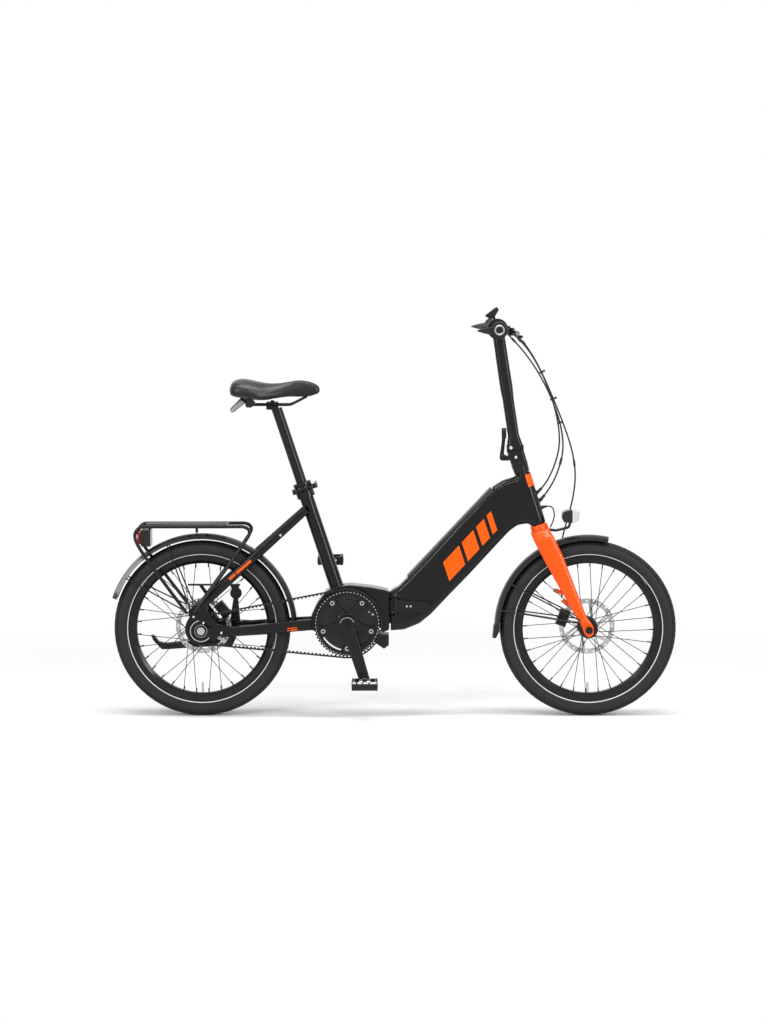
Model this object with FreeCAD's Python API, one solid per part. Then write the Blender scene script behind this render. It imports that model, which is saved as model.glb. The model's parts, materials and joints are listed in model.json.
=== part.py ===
"""Folding electric bicycle with 20 inch wheels, belt drive and a rack, as separate pieces.

Millimetres. +X is forward, +Y is the rider's left, +Z is up. The origin is on the floor, under
the middle of the bicycle. Points written as pairs are (x, z) on the bicycle's middle plane.
"""
import FreeCAD, Part
import math
import os

V = FreeCAD.Vector

# ---------------------------------------------------------------- driving dimensions
TYRE_R = 252.5                      # outside of a 50-406 tyre
TYRE_HALF = 25.0
REAR_HUB = (-545.0, TYRE_R)
FRONT_HUB = (561.0, TYRE_R)
BOTTOM_BRACKET = (-129.0, 272.0)
CRANK_LENGTH = 170.0
CRANK_LEAN = 17.3                   # degrees the right crank stands forward of straight down
BELT_PITCH = 11.0
FRONT_TEETH = 56
REAR_TEETH = 22
BELT_Y = -55.5                      # middle plane of the belt
BELT_HALF = 5.5

SEAT_TUBE_FOOT = (-159.6, 371.0)
SEAT_TUBE_TOP = (-252.0, 648.0)
SEAT_POST_R = 15.25
SEAT_POST_TOP = (-336.0, 882.0)
SEAT_POST_INSIDE = 130.0            # length of post inside the tube as it stands

HEAD_LOW = (417.6, 551.0)
HEAD_HIGH = (371.0, 698.0)
STEERER_R = 14.3
STEM_SPLIT_Z = 764.0
POST_LOW = (346.8, 798.0)
POST_HIGH = (300.5, 1102.0)
BAR = (294.0, 1112.0)
BAR_HALF = 290.0

FOLD_PIN = (-7.0, 55.0)             # x and y of the frame's upright hinge pin
FOLD_PIN_R = 5.0
LATCH_PIN = (9.0, -47.5)            # x and y of the frame latch's upright pin
LATCH_PIN_R = 3.0
STEM_PIN = (31.0, STEM_SPLIT_Z + 1.0)   # y and z of the stem's fore-and-aft hinge pin
STEM_PIN_R = 3.5
STEM_EAR_R = 7.0
STEM_EAR_X = (341.0, 361.0)         # the lower stem's ear stands between the post's two ears
STEM_PIN_X = (327.0, 375.0)
STEM_LATCH = (314.0, 742.0)         # x and z of the stem latch's cross pin
HINGE_GAP = 2.0                     # each half stops this far from the pin's x

FENDER_R_REAR = 273.0
FENDER_R_FRONT = 269.0
RACK_Z = 549.0
RACK_HALF = 60.0
RUN = 0.05                          # radial clearance of a running fit
CABLE_R = 2.3
PORT_R = 5.5                        # bosses on the head tube that the cables end in
ROUTES = {
    "rear brake hose": [(330, -66, 1104), (362, -62, 1080), (400, -42, 1030), (432, -20, 970),
                        (457, -10, 906), (474, -8, 838), (478, -8, 775), (462, -9, 716),
                        (436, -10, 664), (417, -10, 646)],
    "gear cable": [(322, 66, 1102), (356, 56, 1068), (396, 30, 1018), (430, 6, 962),
                   (459, -2, 900), (481, 0, 836), (490, 2, 770), (476, 4, 706),
                   (449, 5, 650), (427, 6, 624)],
    "front brake hose": [(334, 76, 1106), (366, 70, 1084), (404, 50, 1034), (438, 24, 972),
                         (470, 8, 902), (500, 8, 830), (520, 14, 762), (526, 24, 694),
                         (520, 34, 628), (506, 44, 570), (490, 58, 510), (484, 66, 440),
                         (487, 68, 380), (490, 60, 332)],
    "lamp wire": [(434, 10, 600), (456, 12, 606), (466, 10, 580), (458, 6, 552), (452, 4, 541)],
}


# ---------------------------------------------------------------- helpers
def at(pair, y=0.0):
    """The point (x, z) of the middle plane, moved sideways to y."""
    return V(pair[0], y, pair[1])


def unit(a, b):
    """The direction from a to b."""
    step = b - a
    return step.normalize()


def rod(a, b, radius):
    """A round bar from a to b."""
    return Part.makeCylinder(radius, (b - a).Length, a, b - a)


def tube(a, b, outer, inner):
    """A round tube from a to b, open at both ends."""
    past = unit(a, b)
    return rod(a, b, outer).cut(rod(a - past, b + past, inner))


def cone(a, b, ra, rb):
    """A round taper from a to b."""
    return Part.makeCone(ra, rb, (b - a).Length, a, b - a)


def block(x0, x1, y0, y1, z0, z1):
    """A box between its limits."""
    return Part.makeBox(x1 - x0, y1 - y0, z1 - z0, V(x0, y0, z0))


def slab(outline, y0, y1):
    """An outline of (x, z) points, solid from y0 to y1."""
    loop = [V(x, y0, z) for x, z in outline]
    return Part.Face(Part.makePolygon(loop + loop[:1])).extrude(V(0, y1 - y0, 0))


def turned(profile, hub, start=0.0, sweep=360.0):
    """A profile of (y, radius) points turned about the wheel axis through hub.

    start and sweep are degrees from straight ahead, rising over the top of the wheel.
    """
    cx, cz = hub
    loop = [V(cx + radius, y, cz) for y, radius in profile]
    face = Part.Face(Part.makePolygon(loop + loop[:1]))
    if start:
        face.rotate(V(cx, 0, cz), V(0, -1, 0), start)
    return face.revolve(V(cx, 0, cz), V(0, -1, 0), sweep)


def polar(hub, radius, degrees):
    """The (x, z) point at a radius and angle about hub, 0 ahead and 90 on top."""
    angle = math.radians(degrees)
    return hub[0] + radius * math.cos(angle), hub[1] + radius * math.sin(angle)


def bent(points, radius, largest=None):
    """A round rod along a route: straight runs joined by arcs as large as the runs allow."""
    edges = []
    here = points[0]
    for before, corner, after in zip(points, points[1:], points[2:]):
        back = unit(corner, before)
        ahead = unit(corner, after)
        turn = math.pi - back.getAngle(ahead)
        reach = 0.45 * min((corner - before).Length, (after - corner).Length)
        if largest:
            reach = min(reach, largest * math.tan(turn / 2))
        first = corner + back * reach
        last = corner + ahead * reach
        sag = reach / math.tan(turn / 2) * (1 / math.cos(turn / 2) - 1)
        middle = corner + (back + ahead).normalize() * sag
        edges.append(Part.LineSegment(here, first).toShape())
        edges.append(Part.Arc(first, middle, last).toShape())
        here = last
    edges.append(Part.LineSegment(here, points[-1]).toShape())
    path = Part.Wire(edges)
    ring = Part.Wire(Part.makeCircle(radius, points[0], points[1] - points[0]))
    return path.makePipeShell([ring], True, False)


def rounded_loop(centre, side, up, half_wide, half_high, corner):
    """A rectangle with round corners, drawn about centre in the plane of side and up."""
    def point(a, b):
        return centre + side * a + up * b
    w, h, c = half_wide, half_high, corner
    bite = c * (1 - math.sqrt(0.5))
    stops = [((w - c, -h), (w - bite, -h + bite), (w, -h + c)),
             ((w, h - c), (w - bite, h - bite), (w - c, h)),
             ((-w + c, h), (-w + bite, h - bite), (-w, h - c)),
             ((-w, -h + c), (-w + bite, -h + bite), (-w + c, -h))]
    edges = []
    for number, (first, middle, last) in enumerate(stops):
        following = stops[(number + 1) % 4][0]
        edges.append(Part.Arc(point(*first), point(*middle), point(*last)).toShape())
        edges.append(Part.LineSegment(point(*last), point(*following)).toShape())
    return Part.Wire(edges)


def oval_loop(centre, normal, long_way, half_long, half_short):
    """An oval about centre, square to normal, its long half-width along long_way."""
    across = normal.cross(long_way)
    return Part.Wire(Part.Ellipse(centre + long_way * half_long, centre + across * half_short,
                                  centre).toShape())


def through(loops, ruled=False):
    """A solid that passes through a row of closed loops."""
    return Part.makeLoft(loops, True, ruled)


def fused(*shapes):
    """Pieces joined to one solid."""
    return shapes[0].multiFuse(list(shapes[1:])).removeSplitter()


def mirrored(shape):
    """The same piece on the other side of the bicycle."""
    return shape.mirror(V(0, 0, 0), V(0, 1, 0))


def both(shape):
    """The piece and its mirror image."""
    return [shape, mirrored(shape)]


MADE = {}                           # every sub-part written so far, by name


def save(node, *shapes):
    """Write one sub-part, which may hold several separate solids."""
    solids = [solid for shape in shapes for solid in shape.Solids]
    for solid in solids:
        if not solid.isValid():
            print("NOT VALID", node)
    whole = solids[0] if len(solids) == 1 else Part.makeCompound(solids)
    MADE[node] = whole
    whole.exportStep(f"parts/{node}.step")
    size = whole.BoundBox
    print(f"{node:24s} {len(solids):3d} solids {whole.Volume / 1000:9.1f} cm3"
          f"  x {size.XMin:7.1f} {size.XMax:7.1f}  y {size.YMin:7.1f} {size.YMax:7.1f}"
          f"  z {size.ZMin:7.1f} {size.ZMax:7.1f}")


# ---------------------------------------------------------------- wheels
def tyre(hub):
    """A hollow tyre with two beads that sit in the rim's channel."""
    crown = TYRE_R - TYRE_HALF
    foot = 209.4
    cx, cz = hub
    middle = V(cx + crown, 0, cz)
    outside = Part.Face(Part.Wire(Part.makeCircle(TYRE_HALF, middle, V(0, 0, 1))))
    inside = Part.Face(Part.Wire(Part.makeCircle(TYRE_HALF - 4.5, middle, V(0, 0, 1))))
    below = Part.makePlane(60, 120, V(cx + foot - 60, -60, cz), V(0, 0, 1))
    casing = outside.cut(inside).cut(below).revolve(V(cx, 0, cz), V(0, 1, 0), 360)
    beads = [turned([(y, foot - 10.5), (y + 3.4, foot - 10.5), (y + 3.4, foot + 1.4),
                     (y, foot + 1.4)], hub) for y in (9.8, -13.2)]
    return fused(casing, *beads)


def rim(hub):
    """A deep channel rim with hooked flanges."""
    half = [(9, 187), (15.5, 196), (15.5, 209), (13.4, 209), (13.4, 197), (8, 189.6)]
    return turned(half + [(-y, r) for y, r in reversed(half)], hub)


def spokes(hub, flange_r, left_y, right_y, first=0.0):
    """Thirty-two crossed spokes with their ends in the flanges and the rim."""
    count = 32
    wires = []
    for number in range(count):
        flange_y = left_y if number % 2 else right_y
        lean = 42.0 if number % 4 < 2 else -42.0
        rim_angle = first + (number + 0.5) * 360.0 / count
        side = math.copysign(2.1, lean)         # inside or outside of the flange
        low = at(polar(hub, flange_r - 3.0, rim_angle + lean), flange_y + side)
        high = at(polar(hub, 188.6, rim_angle), 0.12 * flange_y)
        wires.append(rod(low, high, 1.0))
    return wires


def rotor(hub, y):
    """A brake disc: a drilled ring held by six arms to its hub ring."""
    thick = 1.8
    ring = turned([(y, 66), (y + thick, 66), (y + thick, 80), (y, 80)], hub)
    boss = turned([(y, 18), (y + thick, 18), (y + thick, 30), (y, 30)], hub)
    disc = [ring, boss]
    for number in range(6):
        angle = number * 60.0
        outline = [polar(hub, 28, angle - 8), polar(hub, 28, angle + 8),
                   polar(hub, 67.5, angle + 27), polar(hub, 67.5, angle + 20)]
        disc.append(slab(outline, y, y + thick))
    whole = fused(*disc)
    for number in range(24):
        hole = at(polar(hub, 73 + 3 * (number % 2), number * 15.0), y - 1)
        whole = whole.cut(rod(hole, hole + V(0, thick + 2, 0), 2.6))
    return whole


def rear_wheel():
    """Tyre, rim, spokes, gear hub, belt sprocket and brake disc of the rear wheel."""
    hub = REAR_HUB
    save("rear_tyre", tyre(hub))
    save("rear_rim", rim(hub), valve(hub))
    save("rear_spokes", *spokes(hub, 46, 31.5, -31.5))
    shell = turned([(-48, 6 + RUN), (48, 6 + RUN), (48, 20), (36, 28), (33.5, 36), (33.5, 48),
                    (30, 48), (30, 38), (20, 35), (-20, 35), (-30, 38), (-30, 48),
                    (-33.5, 48), (-33.5, 36), (-38, 30), (-48, 26)], hub)
    save("rear_hub", shell)
    save("rear_rotor", rotor(hub, 48.2))
    pitch_r = REAR_TEETH * BELT_PITCH / (2 * math.pi)
    save("rear_sprocket", sprocket(hub, pitch_r, REAR_TEETH, 14.0, 8.0))


def front_wheel():
    """Tyre, rim, spokes, hub and brake disc of the front wheel."""
    hub = FRONT_HUB
    save("front_tyre", tyre(hub))
    save("front_rim", rim(hub), valve(hub))
    save("front_spokes", *spokes(hub, 25, 24.5, -30.5, first=4.0))
    shell = turned([(-46, 6 + RUN), (39, 6 + RUN), (39, 18), (28, 18), (26, 27), (23, 27),
                    (22, 15), (-26, 13), (-29, 27), (-32, 27), (-34, 15), (-46, 11)], hub)
    save("front_hub", shell)
    save("front_rotor", rotor(hub, 39.2))


def valve(hub):
    """The tyre valve, which stands up from the rim's lowest place."""
    foot = at((hub[0], hub[1] - 186.8))
    return rod(foot, foot + V(0, 0, 30), 3.2)


def sprocket(hub, pitch_r, teeth, inner_r, depth):
    """A toothed belt wheel. Its teeth stop just inside the belt's plain back."""
    tip = pitch_r - 1.8
    root = tip - 3.6
    outline = []
    for number in range(teeth):
        middle = number * 360.0 / teeth
        step = 360.0 / teeth
        for share, radius in ((-0.5, root), (-0.30, root), (-0.2, tip), (0.2, tip), (0.30, root)):
            outline.append(polar(hub, radius, middle + share * step))
    half = depth / 2
    body = slab(outline, BELT_Y - half, BELT_Y + half)
    centre = at(hub, BELT_Y - half - 1)
    return body.cut(rod(centre, centre + V(0, depth + 2, 0), inner_r))


# ---------------------------------------------------------------- drive
def belt_frame():
    """Radii, length of the straight runs and the lean of the belt's upper run."""
    front_r = FRONT_TEETH * BELT_PITCH / (2 * math.pi)
    rear_r = REAR_TEETH * BELT_PITCH / (2 * math.pi)
    reach = at(BOTTOM_BRACKET) - at(REAR_HUB)
    line = math.degrees(math.atan2(reach.z, reach.x))
    lean = math.degrees(math.asin((front_r - rear_r) / reach.Length))
    return front_r, rear_r, line, lean


def drive_belt():
    """The belt: one closed band, toothed inside along its two straight runs."""
    front_r, rear_r, line, lean = belt_frame()
    back = 2.2
    face = 1.2
    tooth = 4.4

    def band_points(extra, toothed):
        """Corners of the band at a distance outside the pitch line."""
        upper = line + 90 + lean
        lower = line - 90 - lean
        points = []
        for step in range(41):
            angle = lower + (upper - lower) * step / 40
            points.append(polar(BOTTOM_BRACKET, front_r + extra, angle))
        start = points[-1]
        end = polar(REAR_HUB, rear_r + extra, upper)
        points += run_points(start, end, upper, toothed)
        for step in range(25):
            angle = upper + (lower + 360 - upper) * step / 24
            points.append(polar(REAR_HUB, rear_r + extra, angle))
        start = points[-1]
        end = polar(BOTTOM_BRACKET, front_r + extra, lower)
        points += run_points(start, end, lower, toothed)
        return points

    def run_points(start, end, outward, toothed):
        """Tooth corners along a straight run, pointing inwards."""
        if not toothed:
            return []
        length = math.dist(start, end)
        along = ((end[0] - start[0]) / length, (end[1] - start[1]) / length)
        inward = (-math.cos(math.radians(outward)), -math.sin(math.radians(outward)))
        found = []
        count = int(length // BELT_PITCH) - 3
        margin = (length - (count - 1) * BELT_PITCH) / 2
        for number in range(count):
            middle = margin + number * BELT_PITCH
            for offset, deep in ((-3.0, 0), (-2.0, tooth - face), (2.0, tooth - face), (3.0, 0)):
                found.append((start[0] + along[0] * (middle + offset) + inward[0] * deep,
                              start[1] + along[1] * (middle + offset) + inward[1] * deep))
        return found

    outer = slab(band_points(back, False), BELT_Y - BELT_HALF, BELT_Y + BELT_HALF)
    inner = slab(band_points(-face, True), BELT_Y - BELT_HALF - 1, BELT_Y + BELT_HALF + 1)
    save("drive_belt", outer.cut(inner))


def crank_tip(side):
    """The pedal axis on a side: -1 right, 1 left."""
    lean = math.radians(CRANK_LEAN)
    sign = 1 if side < 0 else -1
    return (BOTTOM_BRACKET[0] + sign * CRANK_LENGTH * math.sin(lean),
            BOTTOM_BRACKET[1] - sign * CRANK_LENGTH * math.cos(lean))


def crank_arm(side):
    """A crank arm that flares outwards from its boss to the pedal eye."""
    tip = at(crank_tip(side), side * 80.0)
    root = at(BOTTOM_BRACKET, side * 72.0)
    down = unit(at(BOTTOM_BRACKET), at(crank_tip(side)))
    across = V(0, side, 0).cross(down)
    loops = []
    for share, half_wide, half_thick in ((0.06, 19.0, 9.0), (0.5, 17.5, 8.2), (0.97, 15.5, 7.6)):
        middle = root + (tip - root) * share
        loops.append(rounded_loop(middle, across, V(0, side, 0), half_wide, half_thick, 5.0))
    arm = through(loops, True)
    boss = rod(at(BOTTOM_BRACKET, side * 63), at(BOTTOM_BRACKET, side * 82), 21)
    eye = rod(at(crank_tip(side), side * 72.4), at(crank_tip(side), side * 87.6), 16)
    whole = fused(arm, boss, eye)
    whole = whole.cut(rod(at(BOTTOM_BRACKET, side * 60), at(BOTTOM_BRACKET, side * 79), 10))
    return whole.cut(rod(at(crank_tip(side), side * 70), at(crank_tip(side), side * 90), 7 + RUN))


def crankset():
    """Axle, two arms, sprocket, five-armed spider and its bolts."""
    save("crank_axle", rod(at(BOTTOM_BRACKET, -78.8), at(BOTTOM_BRACKET, 78.8), 10))
    save("crank_arm_right", crank_arm(-1))
    save("crank_arm_left", crank_arm(1))
    front_r = FRONT_TEETH * BELT_PITCH / (2 * math.pi)
    wheel = sprocket(BOTTOM_BRACKET, front_r, FRONT_TEETH, 80.0, 8.0)
    tabs = [wheel]
    arms = [rod(at(BOTTOM_BRACKET, -61.6), at(BOTTOM_BRACKET, -56), 30)]
    bolts = []
    bolt_circle = 72.0
    for number in range(5):
        angle = 90 + 36 + number * 72
        seat = at(polar(BOTTOM_BRACKET, bolt_circle, angle), 0)
        outline = [polar(BOTTOM_BRACKET, 66, angle - 9), polar(BOTTOM_BRACKET, 81.5, angle - 14),
                   polar(BOTTOM_BRACKET, 81.5, angle + 14), polar(BOTTOM_BRACKET, 66, angle + 9)]
        tab = slab(outline, BELT_Y - 0.4, BELT_Y + 4)
        hole = rod(seat + V(0, -70, 0), seat + V(0, -45, 0), 4.0)
        tabs.append(tab.cut(hole))
        arm_outline = [polar(BOTTOM_BRACKET, 26, angle - 34), polar(BOTTOM_BRACKET, 48, angle - 13),
                       polar(BOTTOM_BRACKET, 80, angle - 6.5), polar(BOTTOM_BRACKET, 80, angle + 6.5),
                       polar(BOTTOM_BRACKET, 48, angle + 13), polar(BOTTOM_BRACKET, 26, angle + 34)]
        arms.append(slab(arm_outline, -60.6, -56.0).cut(hole))
        stem = rod(seat + V(0, -60.6, 0), seat + V(0, -51.4, 0), 4.0)
        head = rod(seat + V(0, -63.2, 0), seat + V(0, -60.6, 0), 6.4)
        bolts.append(fused(stem, head))
    save("front_sprocket", fused(*tabs))
    bore = rod(at(BOTTOM_BRACKET, -65), at(BOTTOM_BRACKET, -50), 10)
    save("sprocket_spider", fused(*arms).cut(bore))
    save("sprocket_bolts", *bolts)


def pedal(side, name):
    """A folding pedal: the axle with its hinge block, and the platform that folds up."""
    x, z = crank_tip(side)
    shaft = rod(V(x, side * 73, z), V(x, side * 94, z), 7)
    barrel = rod(V(x, side * 88, z), V(x, side * 98, z), 11)
    low, high = sorted((side * 97.5, side * 102.5))
    knuckle = block(x - 15, x + 15, low, high, z - 9, z + 9)
    pin = rod(V(x - 26, side * 106, z), V(x + 26, side * 106, z), 4)
    low, high = sorted((side * 100.5, side * 106.5))
    lug = block(x - 12, x + 12, low, high, z - 7, z + 7)
    save(f"pedal_axle_{name}", fused(shaft, barrel, knuckle, lug, pin))
    near, far = side * 112.0, side * 190.0
    low, high = sorted((near, far))
    frame = block(x - 36.5, x + 36.5, low, high, z - 12, z + 12)
    for window in (-1, 1):
        a, b = sorted((window * 6.0, window * 29.0))
        frame = frame.cut(block(x + a, x + b, low + 8, high - 8, z - 13, z + 13))
    notch = sorted((side * 105.0, side * 124.0))
    frame = frame.cut(block(x - 16, x + 16, *notch, z - 13, z + 13))
    low, high = sorted((side * 100.0, side * 114.0))
    ears = []
    for edge in (-1, 1):
        a, b = sorted((edge * 18.0, edge * 26.5))
        ears.append(block(x + a, x + b, low, high, z - 8, z + 8))
    hole = rod(V(x - 30, side * 106, z), V(x + 30, side * 106, z), 4 + RUN)
    studs = []
    for edge in (-1, 1):
        for place in (122, 141, 160, 179):
            foot = V(x + edge * 33, side * place, z - 14)
            studs.append(rod(foot, foot + V(0, 0, 28), 1.8))
    save(f"pedal_{name}", fused(frame, *ears, *studs).cut(hole))


# ---------------------------------------------------------------- rear frame
def motor_place():
    """Centre of the motor drum, a little ahead of and above the cranks."""
    return (-124.0, 279.0)


def rear_casting():
    """The cast shell over the motor, with the rear half of the frame hinge."""
    outline = [(-232, 249), (-232, 292), (-214, 330), (-190, 362), (-160, 376), (-118, 380),
               (-59, 373), (-18, 365), (FOLD_PIN[0] - HINGE_GAP, 361),
               (FOLD_PIN[0] - HINGE_GAP, 251), (-34, 240), (-60, 246), (-190, 246)]
    shell = slab(outline, -40, 40)
    hollow = rod(at(motor_place(), -60), at(motor_place(), 60), 74.4)
    cheek = slab([(-190, 230), (-190, 262), (-58, 262), (-58, 230)], -60, 60)
    shell = shell.cut(hollow).cut(cheek)
    slot = slab([(-60, 225), (-60, 262), (-36, 262), (-28, 238), (-28, 225)], -60, 60)
    shell = shell.cut(slot)
    ears = []
    x, y = FOLD_PIN
    for low, high in ((262, 282), (330, 350)):
        barrel = rod(V(x, y, low), V(x, y, high), 10)
        web = block(x - 34, x - HINGE_GAP, 30, y + 6, low, high)
        ears.append(barrel.fuse(web))
    whole = fused(shell, *ears)
    whole = whole.cut(rod(V(x, y, 200), V(x, y, 400), FOLD_PIN_R))
    foot = at(SEAT_TUBE_FOOT)
    up = unit(at(SEAT_TUBE_FOOT), at(SEAT_TUBE_TOP))
    return whole.cut(rod(foot - up * 9, foot + up * 60, 20))


def motor():
    """The drum-shaped motor with its gearbox bulge and the plate that guards its front edge."""
    drum = rod(at(motor_place(), -45), at(motor_place(), 45), 74)
    bulge = slab([(-184, 230), (-184, 258), (-64, 258), (-64, 240), (-90, 214), (-150, 206)], -36, 36)
    body = fused(drum, bulge).cut(rod(at(BOTTOM_BRACKET, -60), at(BOTTOM_BRACKET, 60), 10 + RUN))
    nose = slab([(-60, 221), (-44, 209), (-24, 195.5), (-10, 206), (-10, 236), (-30, 236),
                 (-52, 246)], -34, 34)
    return body, nose.cut(drum)


def rear_frame():
    """Casting, seat tube, stays with dropouts, motor, hinge pin and axle."""
    save("rear_frame_casting", rear_casting())
    body, nose = motor()
    save("motor_unit", body, nose)
    x, y = FOLD_PIN
    pin = rod(V(x, y, 262), V(x, y, 350), FOLD_PIN_R)
    cap = [rod(V(x, y, 350), V(x, y, 353), 8), rod(V(x, y, 259), V(x, y, 262), 8)]
    save("frame_hinge_pin", fused(pin, *cap))

    foot = at(SEAT_TUBE_FOOT)
    top = at(SEAT_TUBE_TOP)
    up = unit(foot, top)
    save("seat_tube", tube(foot - up * 8, top, 20, SEAT_POST_R + RUN))
    collar = tube(top + up * 0.2, top + up * 24, 26, SEAT_POST_R + 0.4)
    collar = fused(collar, tube(top - up * 20, top + up * 0.3, 26, 20.0))
    ahead = V(0, 1, 0).cross(up)
    middle = top + up * 6
    ears = []
    for sign in (-1, 1):
        ear_at = middle + ahead * (sign * 9) + V(0, -29, 0)
        ears.append(rod(ear_at - ahead * 5, ear_at + ahead * 5, 9))
    collar = fused(collar, *ears)
    skewer = rod(middle - ahead * 32 + V(0, -31, 0), middle + ahead * 27 + V(0, -31, 0), 3)
    knob = rod(middle - ahead * 32 + V(0, -31, 0), middle - ahead * 23 + V(0, -31, 0), 8)
    bore = rod(middle - ahead * 40 + V(0, -31, 0), middle + ahead * 40 + V(0, -31, 0), 3)
    save("seat_collar", collar.cut(bore), fused(skewer, knob))
    pivot = middle + ahead * 27.3 + V(0, -31, 0)
    cam = rod(pivot - up * 7 + ahead * 7, pivot + up * 7 + ahead * 7, 7)
    blade = through([rounded_loop(pivot + ahead * (7 + 1.5 * k) + V(0, 4 + 26 * k, 0), ahead, up,
                                  3.5, 6 + 1.5 * k, 2.5) for k in range(3)], True)
    save("seat_clamp_lever", fused(cam, blade))

    chain = []
    for share, y_mid, x_mid, z_mid, high in ((0, 36, -231, 266, 16), (1, 43.5, -292, 262, 16),
                                             (2, 60, -400, 254, 14), (3, 71.5, -462, 251, 13)):
        centre = V(x_mid, y_mid, z_mid)
        chain.append(rounded_loop(centre, V(0, 1, 0), V(0, 0, 1), 7.5, high, 5))
    stay = through(chain, True)
    plate = slab([(-452, 238), (-452, 264), (-500, 272), (-534, 318), (-560, 326), (-580, 312),
                  (-580, 298), (-566, 270), (-572, 240), (-560, 228), (-540, 226), (-510, 236)],
                 68, 75)
    axle_hole = rod(at(REAR_HUB, 60), at(REAR_HUB, 90), 6)
    plate = plate.cut(axle_hole)
    window = slab([(-536, 276), (-510, 262), (-536, 262)], 60, 80)
    plate = plate.cut(window)
    left = fused(stay, plate).cut(MADE["rear_frame_casting"])
    stand_boss = slab([(-452, 240), (-470, 240), (-500, 212), (-496, 190), (-464, 190), (-452, 214)],
                      68, 75)
    pivot_pin = rod(V(-480, 60, 203), V(-480, 94, 203), 5)
    kick = fused(left, stand_boss, pivot_pin.cut(rod(V(-480, 55, 203), V(-480, 68, 203), 6)))
    save("chainstays", kick, mirrored(left))

    seat = []
    for x_mid, y_mid, z_mid, half in ((-246, 25, 595, 8), (-384, 43, 470, 9), (-500, 62, 363, 8.5),
                                      (-556, 71.5, 312, 7)):
        direction = unit(V(-246, 25, 595), V(-556, 71.5, 312))
        long_way = V(0, 1, 0).cross(direction).normalize()
        seat.append(oval_loop(V(x_mid, y_mid, z_mid), direction, long_way, half + 4, half))
    stay = through(seat, True)
    head = rod(at(SEAT_TUBE_TOP) - up * 80, at(SEAT_TUBE_TOP) - up * 10, 20)
    stay = stay.cut(head).cut(plate)
    bridge_at = V(-362, 0, 490)
    bridge = rod(bridge_at + V(0, -38, 0), bridge_at + V(0, 38, 0), 6)
    save("seatstays", fused(stay, mirrored(stay), bridge))

    axle = rod(at(REAR_HUB, -82.2), at(REAR_HUB, 92), 6)
    nuts = [rod(at(REAR_HUB, y), at(REAR_HUB, y + 7), 11) for y in (-82.2, 75.2)]
    spacers = [rod(at(REAR_HUB, -67.8), at(REAR_HUB, -62.0), 12),
               rod(at(REAR_HUB, 56), at(REAR_HUB, 67.8), 11)]
    save("rear_axle", fused(axle, *nuts, *spacers))


def kickstand():
    """The stand's leg, folded up along the left side, with a broad foot."""
    y0, y1 = 78.0, 92.0
    boss = rod(V(-480, y0, 203), V(-480, y1, 203), 16)
    loops = []
    for x, z, wide, high in ((-488, 202, 6.8, 13), (-560, 197, 6.4, 11), (-655, 188, 5.6, 9)):
        loops.append(rounded_loop(V(x, 85, z), V(0, 1, 0), V(0, 0, 1), wide, high, 3.5))
    leg = through(loops, True)
    foot = slab([(-650, 181), (-668, 180), (-692, 205), (-700, 222), (-690, 221), (-676, 203),
                 (-650, 197)], 75, 97)
    whole = fused(boss, leg, foot)
    save("kickstand_leg", whole.cut(rod(V(-480, 70, 203), V(-480, 99, 203), 5 + RUN)))


def fender(hub, outer_r, start, end, half=28.0):
    """A curved mudguard with turned-down edges."""
    drop = 15.0
    side = [(half, outer_r - drop), (half - 2, outer_r - 7), (0.62 * half, outer_r - 1.5),
            (0, outer_r)]
    inner = [(y - 2.4 if y > 5 else y, r - (0.2 if r == outer_r - drop else 2.2)) for y, r in side]
    ring = side[:-1] + [(0, outer_r)] + [(-y, r) for y, r in reversed(side[:-1])]
    back = [(-y, r) for y, r in inner[:-1]] + [(0, outer_r - 2.4)] + list(reversed(inner[:-1]))
    return turned(ring + back, hub, start, end - start)


def rear_fender():
    """Rear mudguard, its wire stays, the rack and the tail light."""
    save("rear_fender", fender(REAR_HUB, FENDER_R_REAR, 4, 161))
    low = V(REAR_HUB[0] - 24, 78.0, REAR_HUB[1] + 46)
    tops = [at(polar(REAR_HUB, FENDER_R_REAR - 12.0, angle), 30.4) for angle in (146.0, 112.0)]
    wire = fused(*[rod(low, top, 2.0) for top in tops]).cut(MADE["chainstays"])
    save("rear_fender_stays", *both(wire))

    loop = [V(-563, 81, 306), V(-452, 68, 459), V(-409, 62, 524), V(-438, RACK_HALF, RACK_Z),
            V(-706, RACK_HALF, RACK_Z), V(-737, 61, 514), V(-706, 66, 466), V(-584, 81, 303)]
    side = bent(loop, 5.0, 22.0)
    bars = []
    for x in (-700, -643, -586, -529, -472):
        bars.append(rod(V(x, -RACK_HALF, RACK_Z), V(x, RACK_HALF, RACK_Z), 4.0))
    for y in (-28, 0, 28):
        bars.append(block(-704, -468, y - 6, y + 6, RACK_Z, RACK_Z + 5.4))
    link = rod(V(-566, 74.9, 309), V(-566, 84, 309), 5)
    bridge = rod(V(-560, 0, 526.5), V(-560, 0, 549), 4)
    rack = fused(side, mirrored(side), *bars, link, mirrored(link), bridge)
    save("rack_frame", rack.cut(MADE["chainstays"]).cut(MADE["seatstays"]))

    housing = slab([(-690, 490), (-716, 490), (-722, 514), (-716, 537), (-690, 537)], -38, 38)
    stem = block(-697, -691, -8, 8, 536, 545.5)
    lens = slab([(-717.2, 495), (-723, 514), (-717.2, 533), (-725, 531), (-728, 514), (-725, 497)],
                -34, 34)
    save("tail_light", fused(housing, stem), lens.cut(housing))
    magnet = rod(V(-453, 84, 343), V(-453, 94, 343), 17)
    bracket = slab([(-470, 262.5), (-440, 262.5), (-446, 330), (-460, 330)], 76, 80)
    save("fold_magnet", fused(magnet, rod(V(-453, 76, 343), V(-453, 84, 343), 9), bracket,
                              rod(V(-453, 75.2, 330), V(-453, 80, 330), 8)))


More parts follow.
